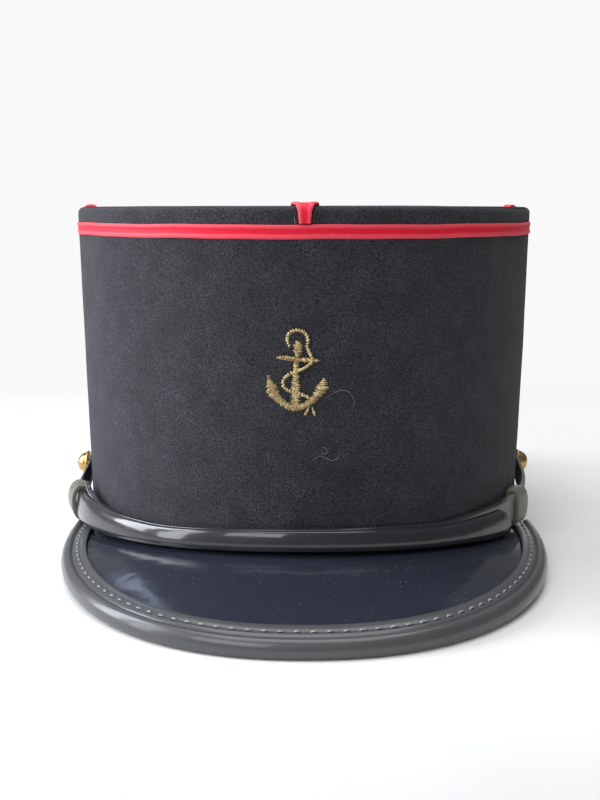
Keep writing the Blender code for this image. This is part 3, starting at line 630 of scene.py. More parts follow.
def gold_thread():
    """Gilt embroidery thread: a metal strip wound on a core, with painted highlights and painted brown shade
    mixed over it by noise.
    """
    material, tree, shader, place = new_material("gilt_embroidery_thread")
    strips = add_node(tree, "TexNoise", {"Vector": place, "Scale": 1 / (0.8 * MM), "Detail": 3.0,
                                         "Roughness": 0.7})
    worn = add_node(tree, "TexNoise", {"Vector": place, "Scale": 1 / (5 * MM), "Detail": 2.0})
    both = add_node(tree, "Math", (worn, 0.5, strips), operation="MULTIPLY_ADD")
    # Painted highlight and shade: where the noise is high the thread takes its colour in the light,
    # elsewhere its brown in the folds, and the broad 5 mm patches make some areas brighter and others
    # browner
    tone = add_node(tree, "MapRange", (both, 0.58, 0.92, 0.0, 1.0))
    colour = add_node(tree, "Mix", {0: tone, 6: (*anchor().shade, 1), 7: (*anchor().gold, 1)},
                      data_type="RGBA")
    # Here and there a strip has lost its gilding and shows pinkish
    rubbed = add_node(tree, "TexNoise", {"Vector": place, "Scale": 1 / (1.3 * MM), "Detail": 1.0})
    bare = add_node(tree, "MapRange", (rubbed, 0.60, 0.70, 0.0, 0.6))
    aged = add_node(tree, "Mix", {0: bare, 6: colour, 7: (*to_linear("c99a86"), 1)}, data_type="RGBA")
    bump = add_node(tree, "Bump", {"Height": strips, "Strength": 0.4, "Distance": 0.1 * MM})
    fill_inputs(tree, shader, {"Base Color": aged, "Metallic": 0.15, "Roughness": 0.38, "Normal": bump})
    return material


def patent_leather(name, colour, wave, dust, gloss, coat, worn_end=False):
    """Patent leather: dark under a clear, slightly uneven lacquer, with a little dust on it.
    wave is the depth of its ripples, gloss the roughness of its glossiest places."""
    material, tree, shader, place = new_material(name)
    ripples = add_node(tree, "TexNoise", {"Vector": place, "Scale": 1 / (9 * MM), "Detail": 1.5})
    grain = add_node(tree, "TexNoise", {"Vector": place, "Scale": 1 / (1.6 * MM), "Detail": 2.0})
    height = add_node(tree, "Math", (grain, 0.06, ripples), operation="MULTIPLY_ADD")
    bump = add_node(tree, "Bump", {"Height": height, "Strength": 1.0, "Distance": wave})
    # Dust lies in specks about 0.3 mm wide, one in every 1.5 mm or so where there is any
    cells = add_node(tree, "TexVoronoi", {"Vector": place, "Scale": 1 / (1.5 * MM)})
    specks = add_node(tree, "MapRange", (cells, 0.06, 0.15, 1.0, 0.0))
    patches = add_node(tree, "TexNoise", {"Vector": place, "Scale": 1 / (16 * MM), "Detail": 4.0,
                                          "Roughness": 0.6})
    lies = add_node(tree, "MapRange", (patches, 0.48, 0.68, 0.0, dust))
    dusty = add_node(tree, "Math", (specks, lies), operation="MULTIPLY")
    base = add_node(tree, "Mix", {0: dusty, 6: (*colour, 1), 7: (*to_linear("a4a7ab"), 1)},
                    data_type="RGBA")
    rough = add_node(tree, "MapRange", (patches, 0.3, 0.8, gloss, gloss + 0.14))
    if worn_end:
        # The strap's end at the right button is worn dull and greyish, past X = 66 to 71 mm
        x = add_node(tree, "SeparateXYZ", (place,)).outputs["X"]
        worn = add_node(tree, "MapRange", (x, 66 * MM, 71 * MM, 0.0, 1.0))
        base = add_node(tree, "Mix", {0: worn, 6: base, 7: (*strap().keeper_patent, 1)}, data_type="RGBA")
        rough = add_node(tree, "Math", (worn, 0.25, rough), operation="MULTIPLY_ADD")
        coat = add_node(tree, "Math", (worn, -coat, coat), operation="MULTIPLY_ADD")
    fill_inputs(tree, shader, {"Base Color": base, "Roughness": rough, "Specular IOR Level": 0.45,
                               "Coat Weight": coat, "Coat Roughness": 0.05, "Normal": bump,
                               "Coat Normal": bump})
    return material


def gilt_brass():
    """Gilt brass, stamped and burnished: a warm metal with a soft gloss and brown in its hollows."""
    material, tree, shader, place = new_material("gilt_brass")
    tarnish = add_node(tree, "TexNoise", {"Vector": place, "Scale": 1 / (2.5 * MM), "Detail": 3.0})
    tone = add_node(tree, "MapRange", (tarnish, 0.35, 0.75, 0.0, 0.5))
    colour = add_node(tree, "Mix", {0: tone, 6: (*strap().brass, 1), 7: (*to_linear("8a6a3c"), 1)},
                      data_type="RGBA")
    gloss = add_node(tree, "MapRange", (tarnish, 0.3, 0.8, 0.18, 0.4))
    fill_inputs(tree, shader, {"Base Color": colour, "Metallic": 1.0, "Roughness": gloss})
    return material


def waxed_thread():
    """Waxed linen sewing thread: pale grey, twisted, with a dull gloss."""
    material, tree, shader, place = new_material("waxed_linen_thread")
    twist = add_node(tree, "TexNoise", {"Vector": place, "Scale": 1 / (0.4 * MM), "Detail": 2.0})
    tone = add_node(tree, "MapRange", (twist, 0.3, 0.7, 0.0, 1.0))
    colour = add_node(tree, "Mix", {0: tone, 6: (*to_linear("50545b"), 1), 7: (*visor().thread_colour, 1)},
                      data_type="RGBA")
    fill_inputs(tree, shader, {"Base Color": colour, "Roughness": 0.35, "Specular IOR Level": 0.6})
    return material


def lint_fibre():
    """Loose cotton lint: pale grey, thin and dull."""
    material, tree, shader, place = new_material("cotton_lint")
    fade = add_node(tree, "TexNoise", {"Vector": place, "Scale": 1 / (2 * MM)})
    colour = add_node(tree, "Mix", {0: fade, 6: (*to_linear("55565a"), 1), 7: (*to_linear("b4b3b0"), 1)},
                      data_type="RGBA")
    fill_inputs(tree, shader, {"Base Color": colour, "Roughness": 0.9})
    return material


def paper_floor():
    """Seamless white paper: matt, with painted shade that greys it far behind the cap, and faded out into
    the surround.
    """
    material, tree, shader, place = new_material("white_paper")
    stage = bpy.context.scene.kepi_stage
    mottle = add_node(tree, "TexNoise", {"Vector": place, "Scale": 1 / (60 * MM)})
    colour = add_node(tree, "Mix", {0: mottle, 6: (*stage.floor, 1), 7: (*to_linear("fbfbfb"), 1)},
                      data_type="RGBA")
    away = add_node(tree, "VectorMath", (place,), operation="LENGTH")
    # Painted shade: the paper's colour greys to d6d6d6 from 0.10 to 0.45 m behind the cap, where the light
    # falls off
    y = add_node(tree, "SeparateXYZ", (place,)).outputs["Y"]
    far = add_node(tree, "MapRange", (y, 0.10, 0.45, 0.0, 1.0))
    greyer = add_node(tree, "Mix", {0: far, 6: colour, 7: (*to_linear("d6d6d6"), 1)}, data_type="RGBA")
    fade = add_node(tree, "MapRange", (away, 0.02, stage.floor_reach * 0.6, 1.0, 0.0),
                    interpolation_type="SMOOTHSTEP")
    fill_inputs(tree, shader, {"Base Color": greyer, "Roughness": 0.9, "Specular IOR Level": 0.1,
                               "Alpha": fade})
    return material


# Crown

def make_crown_wall(cloth):
    """The oval wall: a circle drawn down in rows, cut by the opening and given its thickness."""
    sizes = crown()
    rim = sizes.front_height
    depth = sizes.back_height + 3 * MM
    rows = 52  # cuts between the rim and the opening
    near = 0.1 * MM  # how close to the rim's height counts as on it
    deselect()
    bpy.ops.mesh.primitive_circle_add(vertices=sizes.sides, radius=1.0, fill_type="NOTHING",
                                      location=(0, 0, rim))
    piece = name_piece("crown_cloth")
    bpy.ops.object.transform_apply(location=True)
    edit(piece)
    bpy.ops.mesh.select_all(action="SELECT")
    bpy.ops.transform.resize(value=(sizes.width / 2, sizes.length / 2, 1), center_override=(0, 0, rim))
    draw = sizes.draw_in * depth / rim
    bpy.ops.mesh.extrude_edges_move(TRANSFORM_OT_translate={"value": (0, 0, -depth)})
    bpy.ops.transform.resize(value=(1 - 2 * draw / sizes.width, 1 - 2 * draw / sizes.length, 1),
                             center_override=(0, 0, rim - depth))
    pick_edges(piece, lambda a, b: abs(a.z - b.z) > depth / 2)
    bpy.ops.mesh.subdivide(number_cuts=rows)
    bpy.ops.mesh.select_all(action="SELECT")
    bpy.ops.mesh.bisect(plane_co=(0, -sizes.length / 2, 0), plane_no=(0, opening_fall(), 1),
                        clear_inner=True)
    face_outwards()
    leave_edit()
    # The cut lies in one plane, and its points take the opening's own height
    for vert in piece.data.vertices:
        plane = -opening_fall() * (vert.co.y + sizes.length / 2)
        if vert.co.z < plane + 0.01 * MM:
            vert.co.z = opening_height(vert.co.x, vert.co.y)
    apply_modifier(piece, "SOLIDIFY", thickness=sizes.wall, offset=-1.0)
    edit(piece)
    inner = (sizes.width / 2 - sizes.wall / 2) / (sizes.width / 2)  # the middle of the wall

    def on_outside(point):
        return (2 * point.x / sizes.width) ** 2 + (2 * point.y / sizes.length) ** 2 > inner ** 2

    pick_edges(piece, lambda a, b: min(a.z, b.z) > rim - near and on_outside(a) and on_outside(b))
    bpy.ops.mesh.bevel(offset=sizes.rim_round, segments=6, profile=0.5)
    pick_edges(piece, lambda a, b: min(a.z, b.z) > rim - near
               and not on_outside(a) and not on_outside(b))
    bpy.ops.mesh.bevel(offset=sizes.wall - sizes.rim_round, segments=2, profile=0.5)
    leave_edit()
    swell = bpy.data.textures.new("cloth_swell", "CLOUDS")
    swell.noise_scale = 34 * MM  # the cloth is soft over its stiffener, in waves about this long
    apply_modifier(piece, "DISPLACE", texture=swell, texture_coords="LOCAL", strength=sizes.unevenness,
                   mid_level=0.5)
    lay_down(piece)
    hand_over(piece, cloth, "crown_wall")


def make_crown_top(cloth):
    """The flat top, let into the wall below the rim, with a softened edge."""
    sizes = crown()
    inset = sizes.wall + GAP
    deselect()
    bpy.ops.mesh.primitive_circle_add(vertices=sizes.sides, radius=1.0, fill_type="NGON",
                                      location=(0, 0, top_height()))
    piece = name_piece("crown_top_cloth")
    bpy.ops.object.transform_apply(location=True)
    edit(piece)
    bpy.ops.mesh.select_all(action="SELECT")
    bpy.ops.transform.resize(value=(sizes.width / 2 - inset, sizes.length / 2 - inset, 1),
                             center_override=(0, 0, top_height()))
    bpy.ops.mesh.extrude_region_move(TRANSFORM_OT_translate={"value": (0, 0, -sizes.top_thickness)})
    face_outwards()
    pick_edges(piece, lambda a, b: min(a.z, b.z) > top_height() - 0.1 * MM)
    bpy.ops.mesh.bevel(offset=0.5 * MM, segments=3, profile=0.5)
    leave_edit()
    lay_down(piece)
    hand_over(piece, cloth, "crown_top")


# Soutache

BRAID_STEPS = 24  # steps round a braid
BRAID_SMOOTH = 70  # degrees up to which its edges look round


def cord_section(share, width):
    """A round cord along each edge and a flat middle between them, as (across, out)."""
    half = width * 0.17  # of a cord
    centre = width / 2 - half
    lift = braid().thickness / 2
    inner = math.radians(30)  # where a cord goes over into the flat middle
    if 0.4 < share < 0.6:
        return (share - 0.5) * 10 * (centre - half * math.cos(inner)), lift * (1 + math.sin(inner))
    turn = math.radians(270 - 240 * min(share, 1 - share) / 0.4)
    across = half * math.cos(turn) - centre
    return across if share < 0.5 else -across, lift + lift * math.sin(turn)


def cord_place(around):
    """The share of the section at a step round it. The last step closes the braid's back."""
    return min(around / 0.96, 1.0) if around < 1 else 0.0


def make_soutache_band(rayon):
    """The horizontal braid, sewn round the crown just under the rim."""
    sizes = crown()
    middle = sizes.front_height - braid().band_drop
    girth = math.pi * (sizes.width + sizes.length) / 2
    sunk = 0.4 * MM  # how deep its stitches pull it into the cloth

    def place(along, around):
        angle = TAU * along
        across, out = cord_section(cord_place(around), braid().width)
        # Sewn by hand, it wavers a little
        sag = 0.07 * MM * math.sin(11 * angle) + 0.05 * MM * math.sin(23 * angle)
        return crown_point(angle, middle + across + sag, out - sunk)

    piece = wrap_sheet("soutache_band_braid", 360, BRAID_STEPS, place, girth, braid().width)
    lay_down(piece)
    hand_over(piece, rayon, "soutache_band", BRAID_SMOOTH)


def arm_path(angle):
    """The back of a braid arm, as (off the crown, height): up the wall, over the rim and in."""
    sizes = crown()
    rim, rounding = sizes.front_height, sizes.rim_round
    start = rim - braid().band_drop + braid().width / 2 + GAP
    over = rounding + GAP
    path = [(GAP, start + (rim - rounding - start) * i / 5) for i in range(5)]
    for degrees in range(0, 91, 10):
        turn = math.radians(degrees)
        path.append((-rounding + over * math.cos(turn), rim - rounding + over * math.sin(turn)))
    foot = top_height() + GAP
    bend = braid().thickness + GAP
    shoulder = -sizes.wall - GAP
    path += [(shoulder + GAP / 2, rim + GAP * 0.6), (shoulder, rim - GAP)]
    for degrees in range(0, 91, 18):
        turn = math.radians(degrees)
        path.append((shoulder - bend * (1 - math.cos(turn)), foot + bend * (1 - math.sin(turn))))
    middle = crown_point(angle, top_height()).xy.length
    end = -(middle - braid().knot_reach - braid().width / 2 - GAP)
    begin = shoulder - bend
    path += [(begin + (end - begin) * i / 16, foot) for i in range(1, 17)]
    return path


def make_soutache_arm(rayon, node, degrees):
    """One braid arm over the rim."""
    angle = math.radians(degrees)
    outward = oval_normal(angle)
    across_way = Vector((-outward.y, outward.x, 0))
    spots = [crown_point(angle, height, off) for off, height in arm_path(angle)]
    runs = [0.0]
    for first, second in zip(spots, spots[1:]):
        runs.append(runs[-1] + (second - first).length)
    last = len(spots) - 1

    def place(along, around):
        i = round(along * last)
        ahead = (spots[min(i + 1, last)] - spots[max(i - 1, 0)]).normalized()
        out_way = across_way.cross(ahead)
        width = braid().width * read_row(BRAID_ARM_ROWS, "run", runs[i] / MM, "width")
        across, out = cord_section(cord_place(around), width)
        return spots[i] + across_way * across + out_way * out

    piece = wrap_sheet(node + "_braid", last, BRAID_STEPS, place, runs[-1], braid().width)
    close_ends(piece)
    lay_down(piece)
    hand_over(piece, rayon, node, BRAID_SMOOTH)


def make_soutache_knot(rayon):
    """The four-lobed braid knot on the top."""
    sizes = braid()
    length = 0.17  # metres along its middle line, for the scale of its yarns
    nudge = math.radians(0.4)  # each way, to find the braid's direction
    middle = (1 + sizes.knot_waist) / 2
    swing = (1 - sizes.knot_waist) / 2

    def centre(angle):
        reach = sizes.knot_reach * (middle + swing * math.cos(4 * angle))
        return Vector((reach * math.sin(angle), -reach * math.cos(angle), top_height() + GAP))

    def place(along, around):
        angle = TAU * along
        ahead = (centre(angle + nudge) - centre(angle - nudge)).normalized()
        across, out = cord_section(cord_place(around), sizes.width)
        return centre(angle) + Vector((ahead.y, -ahead.x, 0)) * across + Vector((0, 0, out))

    piece = wrap_sheet("soutache_knot_braid", 240, BRAID_STEPS, place, length, sizes.width)
    lay_down(piece)
    hand_over(piece, rayon, "soutache_knot", BRAID_SMOOTH)


# Anchor

def on_anchor(across, up, lift):
    """A point of the embroidery, from shares of the anchor's height to the crown."""
    sizes = anchor()
    angle = math.asin((sizes.shift + across * sizes.height) * 2 / crown().width)
    return crown_point(angle, sizes.foot + up * sizes.height, GAP + lift)


def satin_stitches(rows, parts, slant, seed, base, spacing=1.0):
    """Stitches laid across a stroke of the anchor, side by side along it. Each differs a little
    from the next in slant, length, height and thickness, as sewn by hand."""
    sizes = anchor()
    chance = random.Random(seed)
    curve = smooth_rows(rows, ("across", "up", "width"), parts)
    stitches = []
    spare = 0.0
    pitch = sizes.thread / sizes.height * spacing
    for low, high in zip(curve, curve[1:]):
        along = Vector((high[0] - low[0], high[1] - low[1]))
        run = along.length
        along.normalize()
        side = Vector((along.y, -along.x))
        while spare < run:
            share = spare / run
            width = low[2] + (high[2] - low[2]) * share
            lean = slant + chance.uniform(-0.16, 0.16)
            stitches.append({
                "at": Vector((low[0], low[1])) + along * spare,
                "way": (side + along * lean).normalized(),
                "half": width / 2 * chance.uniform(0.84, 1.1),
                "width": width,
                "lift": base + chance.uniform(0.0, 0.12) * MM,
                "thick": sizes.thread / 2 * chance.uniform(0.75, 1.1),
            })
            spare += pitch * chance.uniform(0.8, 1.25)
        spare -= run
    return stitches


def rope_stitches(base):
    """Fat slanted stitches, one after another like the turns of a rope."""
    rows = [{**row, "width": ANCHOR_ROPE_WIDTH} for row in ANCHOR_ROPE]
    stitches = satin_stitches(rows, 3, 0.7, 7, base, 1.75)
    for stitch in stitches:
        stitch["thick"] *= 1.6
    return stitches


def lay_gold(stitch, point):
    """Bends a bead over the padding of the anchor."""
    sizes = anchor()
    flat = stitch["way"]
    side = Vector((flat.y, -flat.x))
    thick = stitch["thick"] / sizes.height
    spot = stitch["at"] + flat * (point.x * stitch["half"]) + side * (point.y * thick)
    # The padding is highest in the middle of a stroke
    dome = sizes.relief * (1 - 0.85 * point.x * point.x)
    return on_anchor(spot.x, spot.y, stitch["lift"] + dome + point.z * stitch["thick"] * 0.8)


def make_anchor(gold):
    """The anchor in satin stitch: its arms, its shank over them, then the stock and on top the
    twisted rope. Each stroke has its own slant and seed."""
    stitches = satin_stitches(ANCHOR_ARMS, 4, 0.15, 1, 0.0)
    stitches += satin_stitches(ANCHOR_SHANK, 4, -0.18, 2, 0.12 * MM)
    stitches += satin_stitches(ANCHOR_STOCK, 4, 0.10, 3, 0.20 * MM)
    stitches += rope_stitches(0.45 * MM)
    piece = sew("anchor_gold_threads", stitches, lay_gold)
    lay_down(piece)
    hand_over(piece, gold, "anchor_emblem", smooth=60)


def lay_tail(tail, point):
    """A cut end that spreads like a brush away from the anchor."""
    share = (point.x + 1) / 2
    start = Vector((tail["across"], tail["up"]))
    end = Vector((tail["to_across"], tail["to_up"]))
    way = (end - start).normalized()
    side = Vector((way.y, -way.x))
    spread = 0.006 + 0.014 * share
    spot = start.lerp(end, share) + side * (point.y * spread)
    return on_anchor(spot.x, spot.y, 0.45 * MM + point.z * 0.15 * MM + 0.5 * MM * share * (1 - share))


def make_anchor_tails(gold):
    """The two cut thread ends under the anchor."""
    piece = sew("anchor_thread_tails", ANCHOR_TAILS, lay_tail)
    lay_down(piece)
    hand_over(piece, gold, None, smooth=60)


# Visor

def visor_middle():
    """The point that the visor's outline is drawn about."""
    return Vector((0, -crown().length / 2 + visor().setback, 0))


def visor_edge_reach(angle):
    """Distance from the visor's middle point to its outline."""
    sizes = visor()
    across = abs(math.sin(angle)) / sizes.half_width
    ahead = abs(math.cos(angle)) / (sizes.setback + sizes.reach)
    return (across ** sizes.squareness + ahead ** sizes.squareness) ** (-1 / sizes.squareness)


def visor_seat_reach(angle):
    """Distance from the visor's middle point to the crown's outer face at the opening."""
    draw = crown().draw_in - GAP
    a = crown().width / 2 - draw
    b = crown().length / 2 - draw
    sin, cos = math.sin(angle), math.cos(angle)
    middle = visor_middle().y
    square = sin ** 2 / a ** 2 + cos ** 2 / b ** 2
    half = -middle * cos / b ** 2
    rest = middle ** 2 / b ** 2 - 1
    return (-half + math.sqrt(half ** 2 - square * rest)) / square


def floor_line():
    """Slope and height of the floor in the hat frame, under the visor's edge and the crown's back."""
    sizes = visor()
    roll = sizes.roll / 2
    front = Vector((-crown().length / 2 - sizes.reach + roll, sizes.seat - sizes.drop))
    back = above_seam(math.pi, 0.0, 0.0)
    apart = Vector((back.y, back.z)) - front
    slope = math.atan2(apart.y, apart.x) + math.asin(roll / apart.length)
    return slope, back.z - math.tan(slope) * back.y


def visor_edge_height(angle, slope, height):
    """Height of the middle of the binding's roll."""
    sizes = visor()
    y = visor_middle().y - visor_edge_reach(angle) * math.cos(angle)
    table = height + math.tan(slope) * y
    return table + sizes.roll / 2 / math.cos(slope) + sizes.side_lift * math.sin(angle) ** 2


def visor_surface(angle, inset, floor):
    """Middle surface of the visor at a distance in from its outline."""
    sizes = visor()
    ray = Vector((math.sin(angle), -math.cos(angle), 0))
    outer = visor_edge_reach(angle)
    seat = visor_seat_reach(angle)
    run = outer - sizes.roll / 2 - seat
    reach = outer - inset
    share = (reach - seat) / run
    inner = visor_middle() + ray * seat
    start = opening_height(inner.x, inner.y) + sizes.seat - sizes.thickness / 2
    end = visor_edge_height(angle, *floor)
    height = start + (end - start) * share + sizes.camber * run * 4 * share * (1 - share)
    point = visor_middle() + ray * reach
    point.z = height
    return point


def make_visor_plate(patent):
    """The visor's plate, from its seat on the crown into the binding."""
    sizes = visor()
    floor = floor_line()
    half = sizes.thickness / 2
    turn_over = 0.46  # share of the steps round the plate for its upper face, and the same below

    def place(along, around):
        angle = sizes.end_angle * (2 * along - 1)
        run = visor_edge_reach(angle) - visor_seat_reach(angle) - sizes.roll / 2
        if around <= turn_over or around >= 1:
            share, lift = around % 1 / turn_over, half
        elif around < 0.5:
            share, lift = 1.0, 0.0
        else:
            share, lift = min((1 - around) / turn_over, 1.0), -half
        return visor_surface(angle, sizes.roll / 2 + run * (1 - share), floor) + Vector((0, 0, lift))

    piece = wrap_sheet("visor_patent_plate", 140, 50, place)
    close_ends(piece)
    lay_down(piece)
    hand_over(piece, patent, "visor", smooth=30)


def binding_section():
    """The binding's section as (inset from the outline, height), with rounded corners."""
    sizes = visor()
    roll = sizes.roll / 2
    half = roll * sizes.roll_width
    slot = sizes.thickness / 2 + sizes.play
    lip = slot + sizes.leather
    fold = 2 * half - 0.25 * MM
    bottom = roll - GAP
    section = [(half - half * math.cos(math.radians(a)), roll * math.sin(math.radians(a)))
               for a in range(108, -109, -9)]
    under = sizes.binding_under
    # Below: the fold beside the roll, the lower lip and its edge
    section += [(fold - 0.5 * MM, -lip + 0.1 * MM), (fold, -lip + sizes.crease),
                (fold + 0.5 * MM, -lip + 0.05 * MM), (fold + 1.0 * MM, -lip), (under - 0.3 * MM, -lip),
                (under, -lip + 0.2 * MM), (under, -slot)]
    # The slot that the plate lies in, and the edge of the upper lip
    section += [(bottom, -slot), (bottom, slot), (sizes.binding, slot), (sizes.binding, lip - 0.3 * MM),
                (sizes.binding - 0.12 * MM, lip - 0.1 * MM), (sizes.binding - 0.4 * MM, lip)]
    # The channel that the stitches are pulled into, and the fold above
    section += [(sizes.stitch_inset + out * MM, lip + rise * MM)
                for out, rise in ((0.7, 0.05), (0.25, -0.1), (-0.25, -0.1), (-0.7, 0.05))]
    return section + [(fold + 0.5 * MM, lip), (fold, lip - sizes.crease), (fold - 0.4 * MM, lip + 0.1 * MM)]


def binding_inset(angle, inset):
    """Draws the binding's lips in where the visor is narrow, at its two ends."""
    sizes = visor()
    room = visor_edge_reach(angle) - visor_seat_reach(angle) - GAP / 2
    if inset <= sizes.roll:
        return inset
    return sizes.roll + (inset - sizes.roll) * min(1.0, (room - sizes.roll) / (sizes.binding - sizes.roll))


def make_visor_binding(patent):
    """The folded leather binding with its rolled edge and its sewn channel."""
    sizes = visor()
    floor = floor_line()
    section = binding_section()
    steps = len(section)

    def place(along, around):
        angle = sizes.end_angle * (2 * along - 1)
        inset, lift = section[round(around * steps) % steps]
        return visor_surface(angle, binding_inset(angle, inset), floor) + Vector((0, 0, lift))

    piece = wrap_sheet("visor_binding_leather", 260, steps, place)
    close_ends(piece)
    lay_down(piece)
    hand_over(piece, patent, "visor_binding", smooth=35)


def make_binding_stitches(thread):
    """The row of stitches round the binding, each pulled down into its two holes."""
    sizes = visor()
    floor = floor_line()
    lip = sizes.thickness / 2 + sizes.play + sizes.leather
    limit = sizes.end_angle * 0.955  # the stitches end a little before the binding

    def line(angle):
        return visor_surface(angle, binding_inset(angle, sizes.stitch_inset), floor) + Vector((0, 0, lip))

    steps = 2400  # fine enough to measure the seam and to find each stitch's place
    angles = [-limit + 2 * limit * i / steps for i in range(steps + 1)]
    runs = [0.0]
    for low, high in zip(angles, angles[1:]):
        runs.append(runs[-1] + (line(high) - line(low)).length)
    count = round(runs[-1] / sizes.stitch_pitch)
    chance = random.Random(5)
    stitches = []
    for i in range(count):
        middle = runs[-1] * (i + 0.5) / count
        j = next(k for k, run in enumerate(runs) if run >= middle)
        spot = line(angles[j])
        way = (line(angles[j] + 0.004) - line(angles[j] - 0.004)).normalized()
        half = sizes.stitch_length / 2 * chance.uniform(0.92, 1.06)
        stitches.append({"at": spot, "way": way, "half": half})

    # A stitch is a little flattened, and its ends go down into their holes
    def place(stitch, point):
        side = Vector((-stitch["way"].y, stitch["way"].x, 0)).normalized()
        thick = sizes.thread / 2
        rise = thick * 0.9 * (1 - point.x ** 4) - thick * 0.5
        return (stitch["at"] + stitch["way"] * (point.x * stitch["half"]) + side * (point.y * thick * 1.15)
                + Vector((0, 0, rise + point.z * thick * 0.8)))

    piece = sew("binding_stitches", stitches, place)
    lay_down(piece)
    hand_over(piece, thread, None, smooth=60)


# Chin strap

def strap_value(column, angle):
    """A value from the strap's table, smoothed over a few degrees."""
    degrees = math.degrees(angle)
    spread = (-4.0, -2.0, 0.0, 2.0, 4.0)
    values = [read_row(STRAP_ROWS, "degrees", abs(degrees + shift), column) for shift in spread]
    return sum(values) / len(spread)


def inner_strap_back(angle):
    """Distance of the inner strap's back from the crown."""
    return strap().stand_off * strap_value("off", angle)


def outer_strap_back(angle):
    """Distance of the outer strap's back: over the inner strap, then down to its own button."""
    sizes = strap()
    over = inner_strap_back(angle) + sizes.inner_thickness + GAP
    if angle > sizes.keeper_left:
        return over
    share = min((sizes.keeper_left - angle) / (sizes.keeper_left + sizes.outer_lands), 1.0)
    eased = share * share * (3 - 2 * share)
    return over + (inner_strap_back(angle) - over) * eased


def strap_lower(angle):
    return strap().rise * strap_value("lower", angle) + visor().seat


def outer_raise(angle):
    """The outer strap sets the place of both, so it isn't raised."""
    return 0.0


def inner_raise(angle):
    """How far the inner strap is raised above the outer strap's place."""
    return strap().inner_raise * read_row(INNER_RAISE_ROWS, "degrees", math.degrees(angle), "share")


def tip_share(angle, start, end):
    """Narrows a strap towards its two rounded ends."""
    rounding = math.radians(3.0)
    nearest = min(angle - start, end - angle)
    share = min(max(nearest / rounding, 0.0), 1.0)
    blunt = 0.35  # share of the width that is left at the very end
    return blunt + (1 - blunt) * math.sqrt(1 - (1 - share) ** 2)


def strap_stops(start, end, count):
    """Places along a strap, closer together at its rounded ends."""
    turn = 0.999  # a little under 1 keeps the first two places apart, and the last two
    return [(start + end) / 2 + (end - start) / 2 * math.sin(math.pi / 2 * (2 * i / count - 1) * turn)
            / math.sin(math.pi / 2 * turn) for i in range(count + 1)]


def make_strap(patent, node, start, end, back, thickness, section, raise_by):
    """A strap along the crown between two angles."""
    sizes = strap()
    count = 220  # steps along it
    stops = strap_stops(start, end, count)
    steps = len(section)

    def place(along, around):
        angle = stops[round(along * count)]
        up, out = section[round(around * steps) % steps]
        width = sizes.width * strap_value("width", angle)
        middle = strap_lower(angle) + raise_by(angle) + width / 2
        half = width / 2 * tip_share(angle, start, end)
        thick = thickness * strap_value("thick", angle)
        return above_seam(angle, middle + half * up, back(angle) + thick * out)

    piece = wrap_sheet(node + "_leather", count, steps, place)
    close_ends(piece)
    lay_down(piece)
    hand_over(piece, patent, node, smooth=50)


def make_straps(patent):
    """The padded outer strap with its turned edges, and the flat inner one behind it."""
    sizes = strap()
    padded = [(-1.0, 0.0), (-1.0, 0.18), (-0.98, 0.27), (-0.94, 0.30)]
    padded += [(-0.92 * math.cos(math.radians(a)), 0.28 + 0.72 * math.sin(math.radians(a)) ** 0.5)
               for a in range(4, 177, 9)]
    padded += [(0.94, 0.30), (0.98, 0.27), (1.0, 0.18), (1.0, 0.0)]
    padded = [(up, out * (1 - sizes.lean * up)) for up, out in padded]
    flat = [(-1.0, 0.0), (-1.0, 0.7), (-0.97, 0.9), (-0.9, 1.0), (-0.5, 0.99), (0.5, 0.99), (0.9, 1.0),
            (0.97, 0.9), (1.0, 0.7), (1.0, 0.0)]
    make_strap(patent, "chin_strap_outer", -sizes.tip, sizes.outer_end, outer_strap_back,
               sizes.thickness, padded, outer_raise)
    make_strap(patent, "chin_strap_inner", sizes.inner_end, sizes.tip, inner_strap_back,
               sizes.inner_thickness, flat, inner_raise)


def keeper_loop(low, high, back, front, arch):
    """A keeper's inner face in section, as (above the seam, off the crown): arched over the
    strap in front and flat behind it."""
    middle, half = (low + high) / 2, (high - low) / 2
    loop = []
    for degrees in range(0, 181, 12):
        turn = math.radians(degrees)
        loop.append(Vector((middle - half * math.cos(turn), back + (front - back) * math.sin(turn) ** arch)))
    loop += [Vector((high - (high - low) * i / 6, back)) for i in range(1, 6)]
    return loop


def make_keeper(patent, node, centre, raise_by, back, front, arch):
    """A leather loop round the strap, with rounded edges, which flares towards its button."""
    sizes = strap()
    # Angle for each metre along the crown, from a step of one degree each way
    arc = (crown_point(centre + math.radians(1), 0) - crown_point(centre - math.radians(1), 0)).length
    per_metre = math.radians(2) / arc
    half = sizes.keeper_width / 2
    leather = sizes.keeper_leather
    edge = 0.35 * MM  # radius of its rounded edges
    ring = []  # section of the leather, as (along the strap, out)
    for quarter, (along, out) in enumerate(((1, 1), (-1, 1), (-1, 0), (1, 0))):
        for i in range(4):
            turn = math.pi / 2 * (quarter + i / 3)
            ring.append((along * (half - edge) + edge * math.cos(turn),
                         out * (leather - 2 * edge) + edge + edge * math.sin(turn)))
    steps = len(ring)
    spots = len(keeper_loop(0, 1, 0, 1, 1))
    loops = {}
    for shift, _ in ring:
        angle = centre + shift * per_metre
        low = strap_lower(angle) + raise_by(angle) - GAP
        high = low + sizes.width * strap_value("width", angle) + 2 * GAP
        flare = sizes.keeper_flare * (0.5 + math.copysign(shift, shift * centre) / half / 2)
        face = front(angle) + sizes.keeper_play + flare
        loops[shift] = keeper_loop(low, high, back(angle) - GAP, face, arch)

    def place(along, around):
        shift, out = ring[round(around * steps) % steps]
        loop = loops[shift]
        i = round(along * spots) % spots
        way = loop[(i + 1) % spots] - loop[i - 1]
        spot = loop[i] + Vector((-way.y, way.x)).normalized() * out
        return above_seam(centre + shift * per_metre, spot.x, spot.y)

    piece = wrap_sheet(node + "_leather", spots, steps, place)
    lay_down(piece)
    hand_over(piece, patent, node, smooth=50)


